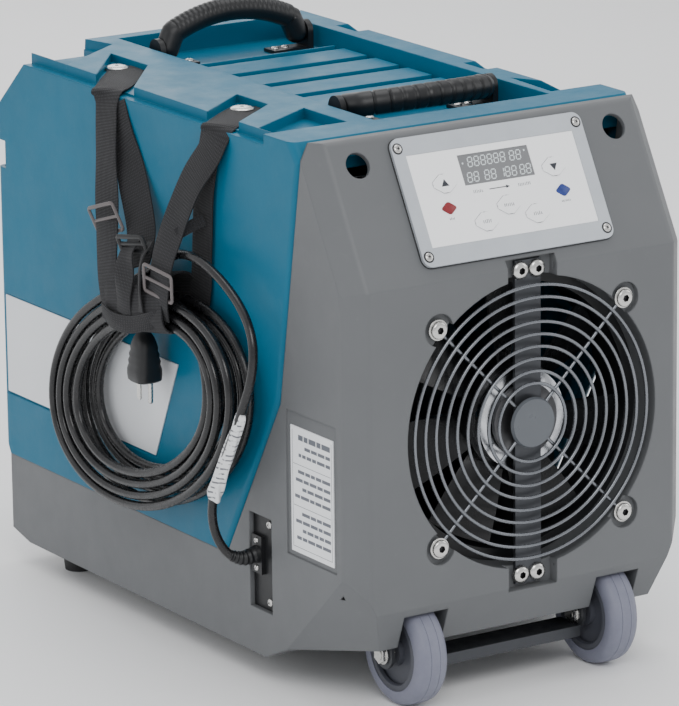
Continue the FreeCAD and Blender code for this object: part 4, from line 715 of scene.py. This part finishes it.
SHEET_TOP = face_box("panel_overlay")[1].z
KEY_BODIES = {"key_up": "up_key", "key_down": "down_key", "key_power": "power_key",
              "key_purge": "purge_key", "key_timer": "timer_key"}
KEY_LINE = (28.5, 21.0, 0.6)
key_tops = {}
print_mesh = bmesh.new()
for key in KEY_BODIES:
    low, high = face_box(key)
    middle = (low + high) / 2
    key_tops[key] = (middle.x, middle.y, high.z)
    line_round(print_mesh, middle.x, middle.y, *KEY_LINE, SHEET_TOP - 0.05, SHEET_TOP + 0.09)
lamp_middles = {}
for colour, count, seed in (("red", 4, 3), ("blue", 7, 4)):
    low, high = face_box(f"status_light_{colour}")
    lamp_middles[colour] = middle = (low + high) / 2
    marks(print_mesh, middle.x, middle.y - 9.8, count, 0.5, 2.1, 0.95, SHEET_TOP, seed)
screen_low, screen_high = face_box("display_module")
screen_mid = (screen_low + screen_high) / 2
arrow_y = screen_low.y - 6.6
for shift, count, seed in ((-26.5, 6, 5), (23.5, 8, 6)):
    marks(print_mesh, screen_mid.x + shift, arrow_y - 0.1, count, 0.55, 3.0, 1.2, SHEET_TOP, seed)
finished("panel_print", print_mesh, INK, smooth=False)
arrow = bmesh.new()
printed(arrow, oblong(-14, arrow_y - 0.4, 4.5, arrow_y + 0.4), SHEET_TOP)
printed(arrow, [(4, arrow_y - 1.6), (8, arrow_y), (4, arrow_y + 1.6)], SHEET_TOP)
finished("panel_arrow", arrow, PRINT, smooth=False)

for key, pointing in (("key_up", 1), ("key_down", -1)):
    x, y, top = key_tops[key]
    bm = bmesh.new()
    base = y - 2.7 * pointing
    printed(bm, [(x - 4.0, base), (x + 4.0, base), (x, y + 3.9 * pointing)], top)
    finished(f"{key}_mark", bm, PRINT, KEY_BODIES[key], smooth=False)
for key, count, seed in (("key_power", 6, 11), ("key_purge", 5, 12), ("key_timer", 5, 13)):
    x, y, top = key_tops[key]
    bm = bmesh.new()
    marks(bm, x, y, count, 0.6, 3.4, 1.3, top, seed)
    finished(f"{key}_mark", bm, INK, KEY_BODIES[key], smooth=False)

# each bar of a digit, from foot to head in shares of its width and height
SEGMENTS = {"a": ((0, 1), (1, 1)), "b": ((1, 0.5), (1, 1)), "c": ((1, 0), (1, 0.5)), "d": ((0, 0), (1, 0)),
            "e": ((0, 0), (0, 0.5)), "f": ((0, 0.5), (0, 1)), "g": ((0, 0.5), (1, 0.5))}


def digit(bm, x, y, segments="abcdefg", wide=4.6, tall=8.6, thick=0.95):
    """A slanted digit of straight bars, its foot's left end at x, y."""
    half = thick / 2
    for name in segments:
        (x0, y0), (x1, y1) = SEGMENTS[name]
        ax, ay, bx, by = x0 * wide, y0 * tall, x1 * wide, y1 * tall
        if y0 == y1:
            corners = [(ax + 0.75, ay - half), (bx - 0.75, by - half), (bx - 0.35, by),
                       (bx - 0.75, by + half), (ax + 0.75, ay + half), (ax + 0.35, ay)]
        else:
            corners = [(ax - half, ay + 0.75), (ax, ay + 0.35), (ax + half, ay + 0.75),
                       (bx + half, by - 0.75), (bx, by - 0.35), (bx - half, by - 0.75)]
        printed(bm, [(x + cx + 0.14 * cy, y + cy) for cx, cy in corners], screen_high.z, 0.10)


digits = bmesh.new()
top_row, low_row = screen_mid.y + 2.4, screen_mid.y - 11.6
for group, count in ((-28.6, 6), (16.4, 2)):
    for i in range(count):
        digit(digits, group + 7.0 * i, top_row)
for x in (-33.2, -26.2, -14.8, -7.8, 7.4, 14.4, 23.2, 30.0):
    digit(digits, x, low_row)
digit(digits, 1.0, low_row, "bc")
for x, y in ((-34.6, top_row + 3.0), (32.6, top_row + 6.6)):
    printed(digits, [(x, y), (x + 1.5, y), (x + 1.7, y + 1.7), (x + 0.2, y + 1.7)], screen_high.z, 0.10)
finished("display_digits", digits, DIGIT, smooth=False)

for colour, look in (("red", LAMP_RED), ("blue", LAMP_BLUE)):
    x, y = lamp_middles[colour].xy
    bm = bmesh.new()
    capped(bm, [placed(bm, FACE, [(px, py, SHEET_TOP + height)
                                  for px, py in rounded_lozenge(x, y, wide, tall)])
                for wide, tall, height in ((17.5, 13, -0.05), (17.5, 13, 0.35), (13.0, 9.4, 0.75))])
    finished(f"lamp_{colour}_lens", bm, look, replaces=[f"status_light_{colour}"])


# ---------------- handles

GRIP_RADIUS, GRIP_HALF = 11.5, 79.9


def grip_line():
    """The grip's centre line: a foot, a leaning leg, a long arc and the same mirrored."""
    half, lean, rise = 73.0, 7.0, 31.0
    shoulder = rise / 2
    bend = ((half - lean) ** 2 + shoulder ** 2) / (2 * shoulder)
    sweep = math.asin((half - lean) / bend)
    start, leg = Vector((-half, 0, 0)), Vector((lean, 0, shoulder)).normalized()
    line = [start + leg * (GRIP_RADIUS * 0.985 * (k / 8 - 1)) for k in range(9)]
    line += [start + leg * (17.0 * k / 8) for k in range(1, 8)]
    ends = len(line)
    for k in range(131):
        angle = sweep * (2 * k / 130 - 1)
        line.append(Vector((bend * math.sin(angle), 0, rise - bend + bend * math.cos(angle))))
    return line + [Vector((-p.x, 0, p.z)) for p in reversed(line[:ends])]


def grip(name, node, body, pivot, turn, ridges, around=40):
    """An arched grip with ridges on its outer side, drawn upright and then turned about its pivot."""
    line = grip_line()
    lengths = [0.0]
    for a, b in zip(line, line[1:]):
        lengths.append(lengths[-1] + (b - a).length)
    total = lengths[-1]
    place = Matrix.Translation(pivot) @ Matrix.Rotation(turn, 4, "X")
    bm = bmesh.new()
    rings = []
    for i, centre in enumerate(line):
        along = (line[min(len(line) - 1, i + 1)] - line[max(0, i - 1)]).normalized()
        outer = Vector((-along.z, 0, along.x))
        share = lengths[i] / total
        edge = min(lengths[i], total - lengths[i])
        points = []
        for angle in angles(around):
            side, reach = math.cos(angle), GRIP_RADIUS
            if edge < GRIP_RADIUS:
                reach = math.sqrt(max(0.0, GRIP_RADIUS ** 2 - (GRIP_RADIUS - edge) ** 2))
            else:
                for start, end, count, depth, width, low_side, high_side in ridges:
                    if start <= share <= end:
                        u = count * (share - start) / (end - start)
                        weight = eased((side - low_side) / (high_side - low_side))
                        reach -= depth * weight * max(0.0, 1 - ((u - round(u)) / width) ** 2)
            point = centre + outer * (reach * side) + Vector((0, 1, 0)) * (reach * math.sin(angle))
            point.x = max(-GRIP_HALF, min(GRIP_HALF, point.x))
            points.append(point)
        rings.append(placed(bm, place, points))
    capped(bm, rings)
    bmesh.ops.remove_doubles(bm, verts=bm.verts, dist=0.000004)
    return finished(name, bm, GRIP, body, replaces=[node])


# each row of ridges: start and end share, count, depth, width, and the sides between which it fades in
ALL_ROUND = (-3.0, -2.0)
foot = GRIP_RADIUS * MM
rear_low, rear_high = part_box("rear_handle")
front_low, front_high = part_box("front_handle")
rear_pivot = Vector(((rear_low.x + rear_high.x) / 2, (rear_low.y + rear_high.y) / 2, rear_low.z + foot))
front_pivot = Vector(((front_low.x + front_high.x) / 2, front_high.y - foot, front_low.z + foot))
grip("front_grip_moulding", "front_handle", "front_grip", front_pivot, math.radians(77),
     [(0.27, 0.90, 10, 1.5, 0.17, -0.35, 0.35), (0.195, 0.205, 1, 1.1, 0.9, *ALL_ROUND)])
grip("rear_grip_moulding", "rear_handle", "rear_grip", rear_pivot, 0.0,
     [(0.16, 0.80, 24, 0.9, 0.26, 0.05, 0.55), (0.840, 0.850, 1, 1.1, 0.9, *ALL_ROUND)])


# ---------------- webbing straps

def web_strip(bm, layer, stations, width, thick=1.8, steps=8, ripple=0.5, seed=1, closed=False, columns=8):
    """Webbing through (centre, across) stations in bench millimetres; its UV is in metres."""
    centres = smooth_path([Vector(p) for p, _ in stations], steps)
    sides = smooth_path([Vector(a).normalized() for _, a in stations], steps)
    rng = random.Random(seed)
    waves = [(rng.uniform(0.03, 0.10), rng.uniform(0, 6.28), rng.uniform(0.4, 1.0)) for _ in range(3)]
    distance, rows = 0.0, []
    for i, centre in enumerate(centres):
        if i:
            distance += (centre - centres[i - 1]).length
        before, after = centres[max(0, i - 1)], centres[min(len(centres) - 1, i + 1)]
        if closed and i in (0, len(centres) - 1):
            before, after = centres[-2], centres[1]
        along = (after - before).normalized()
        across = (sides[i] - along * sides[i].dot(along)).normalized()
        out = across.cross(along).normalized()
        rim = []
        for k in range(columns + 1):
            u = 2 * k / columns - 1
            lift = sum(h * math.sin(f * distance + ph + 1.7 * u) for f, ph, h in waves) * ripple
            crown = 0.35 * (1 - u * u)
            edge = thick * (0.5 if abs(u) < 0.99 else 0.32)
            middle = centre + across * (u * width / 2) + out * (lift + crown)
            rim.append((middle + out * edge, middle - out * edge, (u * width / 2 * MM, distance * MM)))
        rows.append(rim)
    verts = [[((bm.verts.new(spot(*a)), uv), (bm.verts.new(spot(*b)), uv)) for a, b, uv in rim]
             for rim in rows]

    def quad(*corners):
        face = bm.faces.new([vert for vert, _ in corners])
        for loop, (_, uv) in zip(face.loops, corners):
            loop[layer].uv = uv

    for a, b in zip(verts, verts[1:]):
        for k in range(columns):
            quad(a[k][0], a[k + 1][0], b[k + 1][0], b[k][0])
            quad(b[k][1], b[k + 1][1], a[k + 1][1], a[k][1])
        for k in (0, columns):
            quad(a[k][0], b[k][0], b[k][1], a[k][1])
    if not closed:
        for rim in (verts[0], verts[-1]):
            for k in range(columns):
                quad(rim[k][0], rim[k + 1][0], rim[k + 1][1], rim[k][1])


def new_web():
    """An empty mesh with a UV layer in metres."""
    bm = bmesh.new()
    return bm, bm.loops.layers.uv.new("metres")


REAR_LEAN, FRONT_LEAN = (-0.79, 0.61, 0), (-0.66, 0.75, 0)
UPRIGHT = (0, 1, 0)
bm, layer = new_web()
web_strip(bm, layer, [
    ((-115, 489.4, 509.4), REAR_LEAN), ((-145, 452, 509.4), REAR_LEAN), ((-171, 422, 509.4), REAR_LEAN),
    ((-183, 411, 508.6), (-0.5, 0.86, 0)), ((-187.0, 407.5, 502), (-0.15, 0.98, 0)),
    ((-190.5, 404, 484), UPRIGHT), ((-200, 390, 441), UPRIGHT), ((-211, 371, 402), UPRIGHT),
    ((-219, 359, 372), UPRIGHT), ((-223, 352, 348), UPRIGHT), ((-223.5, 347, 330), (0, 0.98, -0.15)),
    ((-221, 339, 316), (0, 0.95, -0.3)), ((-213, 333, 306), (0, 0.92, -0.4))], 35, seed=2)
web_strip(bm, layer, [
    ((-184.6, 397, 498), (0, 0.86, 0.5)), ((-186.5, 385, 476), (0, 0.84, 0.54)),
    ((-189, 368, 452), (0, 0.84, 0.54)), ((-194, 348, 425), (0, 0.86, 0.5)),
    ((-200, 329, 399), (0, 0.9, 0.43)), ((-207, 317, 380), (0, 0.95, 0.3)), ((-213, 311, 365), UPRIGHT)],
    34, seed=7)
finished("rear_webbing", bm, WEB, replaces=["rear_strap"])

bm, layer = new_web()
web_strip(bm, layer, [
    ((-115, 269.4, 509.4), FRONT_LEAN), ((-145, 245.5, 509.4), FRONT_LEAN),
    ((-172, 223.5, 509.4), FRONT_LEAN), ((-183.2, 216, 508.6), (-0.45, 0.88, 0.1)),
    ((-187.2, 214.5, 501), (-0.12, 0.94, 0.3)), ((-190.5, 221, 485), (0, 0.87, 0.49)),
    ((-198, 238, 459), (0, 0.9, 0.43)), ((-206, 248, 431), (0, 0.95, 0.3)),
    ((-213, 254.5, 405), (0, 0.97, 0.22)), ((-220, 256.5, 384), (0, 0.99, 0.1)),
    ((-223.5, 257, 362), UPRIGHT), ((-224.5, 259, 345), UPRIGHT), ((-222, 262, 330), UPRIGHT)], 34, seed=3)
web_strip(bm, layer, [
    ((-185.0, 226, 498), UPRIGHT), ((-186.0, 233, 470), UPRIGHT), ((-186.4, 238.5, 440), UPRIGHT),
    ((-186.5, 242, 400), UPRIGHT), ((-186.6, 245, 360), UPRIGHT), ((-187.0, 252, 330), (0, 0.98, 0.2)),
    ((-187.4, 262, 310), (0, 0.9, 0.4))], 33, seed=4, ripple=0.25)
web_strip(bm, layer, [
    ((-212, 245, 408), (0, 0.3, 0.95)), ((-201, 239, 415), (0, 0.3, 0.95)),
    ((-189.5, 233, 421), (0, 0.3, 0.95))],
    11, seed=5, ripple=0.2)
# the band lies round the turns, a squared oval in section
BAND_ACROSS = (0, 0.978, -0.208)
band_path = []
for angle in range(0, 361, 20):
    turn = math.radians(angle)
    flat_x, flat_z = (math.copysign(abs(v) ** 0.55, v) for v in (math.cos(turn), math.sin(turn)))
    band_path.append(((-206 + 20 * flat_x, 300 + 5.5 * flat_z, 332 + 25 * flat_z), BAND_ACROSS))
web_strip(bm, layer, band_path, 98, thick=2.2, steps=4, ripple=1.0, seed=9, closed=True, columns=22)
web_strip(bm, layer, [
    ((-216, 313, 390), (0.25, 0.95, 0)), ((-225.5, 312, 380), (0.15, 0.98, 0)),
    ((-229.0, 311, 362), (-0.1, 0.99, 0)), ((-230.0, 312, 340), (0.1, 0.99, 0)),
    ((-228.5, 313, 322), (0, 0.98, -0.2))], 26, seed=14, ripple=0.9)
web_strip(bm, layer, [
    ((-212, 291, 392), (0.5, 0.86, 0)), ((-222, 290, 378), (0.6, 0.8, 0)),
    ((-227.0, 287, 354), (0.45, 0.88, 0)), ((-229.0, 284, 330), (0.2, 0.97, 0.1))], 17, seed=15, ripple=0.8)
web_strip(bm, layer, [
    ((-229.5, 352, 318), (0, 0.3, 0.95)), ((-231.5, 330, 313), (0, 0.12, 0.98)),
    ((-231.5, 300, 315), (0, -0.08, 0.99)), ((-229.5, 270, 324), (0, -0.25, 0.96)),
    ((-223, 254, 331), (0, -0.3, 0.95))], 16, seed=16, ripple=0.6)
finished("front_webbing", bm, WEB, replaces=["front_strap"])


def loop_frame(bm, place, width, height, corner, bar):
    """A rounded rectangular frame of round bar with a flatter bar across its middle."""
    path = []
    for cx, cy, start in ((1, 1, 0), (-1, 1, 90), (-1, -1, 180), (1, -1, 270)):
        for k in range(7):
            a = math.radians(start + 15 * k)
            path.append(Vector((cx * (width / 2 - corner) + corner * math.cos(a),
                                cy * (height / 2 - corner) + corner * math.sin(a), 0)))
    rings = []
    for i, centre in enumerate(path):
        along = (path[(i + 1) % len(path)] - path[i - 1]).normalized()
        out = Vector((along.y, -along.x, 0))
        rings.append(placed(bm, place, [centre + out * (bar * math.cos(t))
                                        + Vector((0, 0, 0.8 * bar * math.sin(t))) for t in angles(10)]))
    skin(bm, rings + rings[:1])
    capped(bm, [placed(bm, place, [(x, 0.9 * bar * math.cos(t), -0.6 + 0.7 * bar * math.sin(t))
                                   for t in angles(10)]) for x in (1 - width / 2, width / 2 - 1)])


def buckle_place(centre, across, up):
    """A frame whose X lies across the strap, Y along it and Z out from the housing."""
    x = Vector(across).normalized()
    y = (Vector(up) - x * Vector(up).dot(x)).normalized()
    z = x.cross(y)
    where = spot(*centre)
    return Matrix((*zip(x, y, z, where), (0, 0, 0, 1)))


bm = bmesh.new()
loop_frame(bm, buckle_place((-214.6, 367.5, 399), (0, -0.95, 0.30), (-0.27, 0.3, 0.9)), 46, 27, 3.2, 1.9)
loop_frame(bm, buckle_place((-226.2, 256, 362), (0.1, -0.97, -0.12), (-0.1, -0.1, 0.98)), 42, 26, 3.0, 1.8)
finished("strap_buckles", bm, SLIDER, replaces=["strap_sliders"])
bm = bmesh.new()
loop_frame(bm, buckle_place((-222.5, 307, 388), (0.1, -0.97, 0.15), (-0.3, 0.05, 0.95)), 38, 15, 3.0, 2.4)
finished("tail_buckle", bm, BLACK)


# ---------------- plug, wrap and strain relief

def swept(bm, centres, radii, around=24, flat=1.0, wobble=None):
    """A closed tube through centres with a radius at each; flat is its reach along X in shares."""
    rings = []
    for i, centre in enumerate(centres):
        along = (centres[min(len(centres) - 1, i + 1)] - centres[max(0, i - 1)]).normalized()
        side = (Vector((1, 0, 0)) - along * along.x).normalized()
        other = along.cross(side)
        points = []
        for t in angles(around):
            reach = radii[i] * (1 + (wobble(i, t) if wobble else 0))
            points.append(centre + side * (reach * flat * math.cos(t)) + other * (reach * math.sin(t)))
        rings.append(placed(bm, WORLD, points))
    capped(bm, rings)


# share of the height, half width, half depth and squareness of each section from the prongs up
PLUG_SECTIONS = [
    (0, 11.5, 13.0, 3.6), (0.03, 12.9, 15.0, 4.0), (0.12, 13.3, 15.4, 4.2), (0.22, 13.3, 15.4, 4.0),
    (0.30, 12.2, 14.2, 3.6), (0.36, 12.7, 14.8, 3.6), (0.42, 11.5, 13.6, 3.4), (0.48, 12.1, 14.2, 3.2),
    (0.54, 10.8, 12.8, 3.0), (0.60, 11.3, 13.2, 2.8), (0.68, 10.4, 12.0, 2.6), (0.76, 9.4, 10.4, 2.3),
    (0.83, 7.4, 7.8, 2.0), (0.90, 6.2, 6.2, 2.0), (1.0, 5.4, 5.4, 2.0),
]
plug_low, plug_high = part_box("cord_plug")
plug_foot = Matrix.Translation(((plug_low.x + plug_high.x) / 2, (plug_low.y + plug_high.y) / 2, plug_low.z))
plug_height = (plug_high.z - plug_low.z) / MM
bm = bmesh.new()
sections = []
for share, wide, deep, square in PLUG_SECTIONS:
    points = []
    for a in angles(40):
        c, s = math.cos(a), math.sin(a)
        reach = (abs(c) ** square + abs(s) ** square) ** (-1 / square)
        points.append((wide * reach * c, deep * reach * s, plug_height * share))
    sections.append(placed(bm, plug_foot, points))
capped(bm, sections)
plug_body = finished("plug_body", bm, BLACK, replaces=["cord_plug"])

BLADE_DEPTH, BLADE_TIP = 5, 1.2
bm = bmesh.new()
for low, high in islands("plug_prongs"):
    x, y = (low + high).xy / 2
    place = Matrix.Translation((x, y, low.z))
    wide, deep, tall = (high - low) / MM
    if deep > BLADE_DEPTH:
        prism(bm, oblong(-0.8, -3.2, 0.8, 3.2), BLADE_TIP, tall, place)
        prism(bm, oblong(-0.44, -2.56, 0.44, 2.56), 0, BLADE_TIP, place)
    else:
        radius = wide / 2
        lathe(bm, [(0, 0), (radius * 0.5, 0.3), (radius * 0.86, 1.0), (radius, 2.2), (radius, tall),
                   (0, tall)], place, 24)
plug_blades = finished("plug_blades", bm, STEEL, replaces=["plug_prongs"])


def marked_paper():
    """White wrap with rows of grey print across it."""
    m = Nodes("wrap_print")
    bars = m.add("ShaderNodeTexWave", wave_type="BANDS", bands_direction="Z", wave_profile="SIN")
    bars.inputs["Scale"].default_value = 62
    bars.inputs["Distortion"].default_value = 2.5
    bars.inputs["Detail"].default_value = 2
    m.link(m.coords.outputs["Object"], bars.inputs["Vector"])
    patches = m.range(m.noise(120, 3, 0.6), 0, 1, 0.46, 0.54)
    both = m.add("ShaderNodeMath", operation="MULTIPLY")
    m.link(m.range(bars.outputs["Fac"], 0, 1, 0.72, 0.82), both.inputs[0])
    m.link(patches, both.inputs[1])
    colour = m.ramp(both.outputs[0], [(0.0, linear((224, 226, 227))), (1.0, linear((96, 99, 106)))])
    creases = m.bump(m.noise(150, 4, 0.7), 0.0012, 0.8)
    return m.paint(colour, m.range(m.noise(60), 0.4, 0.6), creases)


WRAP = marked_paper()
wrap_line = smooth_path([Vector(p) for p in ((-219, -137.5, 178), (-219, -149, 199), (-219, -170.5, 235),
                                             (-218.3, -188.5, 268))], 12)
rng = random.Random(21)
folds = [(rng.uniform(0, 6.28), rng.uniform(0.25, 0.6), rng.choice((2, 3, 4, 5))) for _ in range(5)]


def crumple(i, t):
    """How far the wrap stands out at a place along it and round it, as a share of its radius."""
    return sum(math.sin(n * t + p + f * i) for p, f, n in folds) / 22


last = len(wrap_line) - 1
wrap_radii = [9.2 - 3.4 * i / last - (1.2 if i in (0, last) else 0) for i in range(last + 1)]
bm = bmesh.new()
swept(bm, wrap_line, wrap_radii, around=40, flat=0.62, wobble=crumple)
cord_wrap = finished("cord_wrap", bm, WRAP, replaces=["cord_tag"])

relief_line = smooth_path([Vector(p) for p in ((-180.5, -150, 121), (-196, -149, 119.3),
                                               (-206.5, -145, 122.5))], 14)
last = len(relief_line) - 1
relief_radii = [8.6 - 3.4 * i / last - (0.75 if i % 4 in (2, 3) and 0.15 < i / last < 0.95 else 0)
                for i in range(last + 1)]
bm = bmesh.new()
swept(bm, relief_line, relief_radii, around=28)
finished("strain_relief", bm, BLACK)


# ---------------- wheels

# (radius, height along the axle) round the tyre, with two fine grooves in its tread
TYRE_PROFILE = [(36.3, -15.0), (38.5, -15.5), (43, -15.2), (46.5, -13.9), (48.9, -11.2), (49.8, -8.0),
                (50.0, -5.2), (49.5, -4.8), (50.0, -4.4), (50.0, 4.4), (49.5, 4.8), (50.0, 5.2),
                (49.8, 8.0), (48.9, 11.2), (46.5, 13.9), (43, 15.2), (38.5, 15.5), (36.3, 15.0),
                (36.3, -15.0)]
RIM_PROFILE = [(36.0, -1.0), (36.0, 1.6), (34.6, 2.3), (31.0, 2.2), (30.2, 1.2), (29.8, -1.0)]
RIM_OUT = 12.5
WASHER_PROFILE = [(9.6, -5.2), (9.6, -4.0), (9.2, -3.8), (5, -3.8)]
for side in ("left", "right"):
    low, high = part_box(f"tyre_{side}")
    centre = (low + high) / 2
    bm = bmesh.new()
    lathe(bm, TYRE_PROFILE, turned(centre, (-1, 0, 0)), 96)
    bmesh.ops.remove_doubles(bm, verts=bm.verts, dist=0.000002)
    finished(f"tyre_{side}_moulding", bm, TYRE, f"wheel_{side}", replaces=[f"tyre_{side}"])
    bm = bmesh.new()
    for way in (-1, 1):
        lathe(bm, RIM_PROFILE, turned(centre + Vector((way * RIM_OUT * MM, 0, 0)), (way, 0, 0)), 72)
    finished(f"hub_{side}_rim", bm, HUB, f"wheel_{side}")
bm = bmesh.new()
for low, high in islands("wheel_axles"):
    centre = (low + high) / 2
    for way, at in ((-1, low.x), (1, high.x)):
        lathe(bm, WASHER_PROFILE, turned((at, centre.y, centre.z), (way, 0, 0)), 40)
finished("axle_washers", bm, STEEL)


# ---------------- rating plate

plate_low, plate_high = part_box("rating_plate")
wide, tall = (plate_high - plate_low).yz / MM
# the plate's own frame: X back along it, Y up it and Z into it, from its lower front corner
PLATE_FACE = Matrix(((0, 0, 1, plate_low.x), (1, 0, 0, plate_low.y), (0, 1, 0, plate_low.z), (0, 0, 0, 1)))
RULE, ROWS, RULED_ROWS = 0.4, 13, (3, 8)
bm = bmesh.new()
rng = random.Random(8)


def plate_bar(y0, z0, y1, z1):
    """A printed bar between two corners on the plate."""
    prism(bm, oblong(y0, z0, y1, z1), -0.12, 0.2, PLATE_FACE)


for k in range(ROWS):
    z = tall * (0.90 - 0.066 * k)
    if k in RULED_ROWS:
        plate_bar(0.06 * wide, z, 0.94 * wide, z + RULE)
        continue
    at, end = 0.07 * wide, wide * (1 - rng.uniform(0.08, 0.30))
    while at < end - 4:
        span = min(end - at, wide * rng.uniform(0.08, 0.20))
        plate_bar(at, z, at + span, z + tall * (0.026 if k else 0.042))
        at += span + 1.6
for y in (0.035 * wide, 0.955 * wide):
    plate_bar(y, 0.04 * tall, y + RULE, 0.97 * tall)
plate_bar(0.035 * wide, 0.04 * tall, 0.962 * wide, 0.04 * tall + RULE)
finished("rating_print", bm, INK, smooth=False)
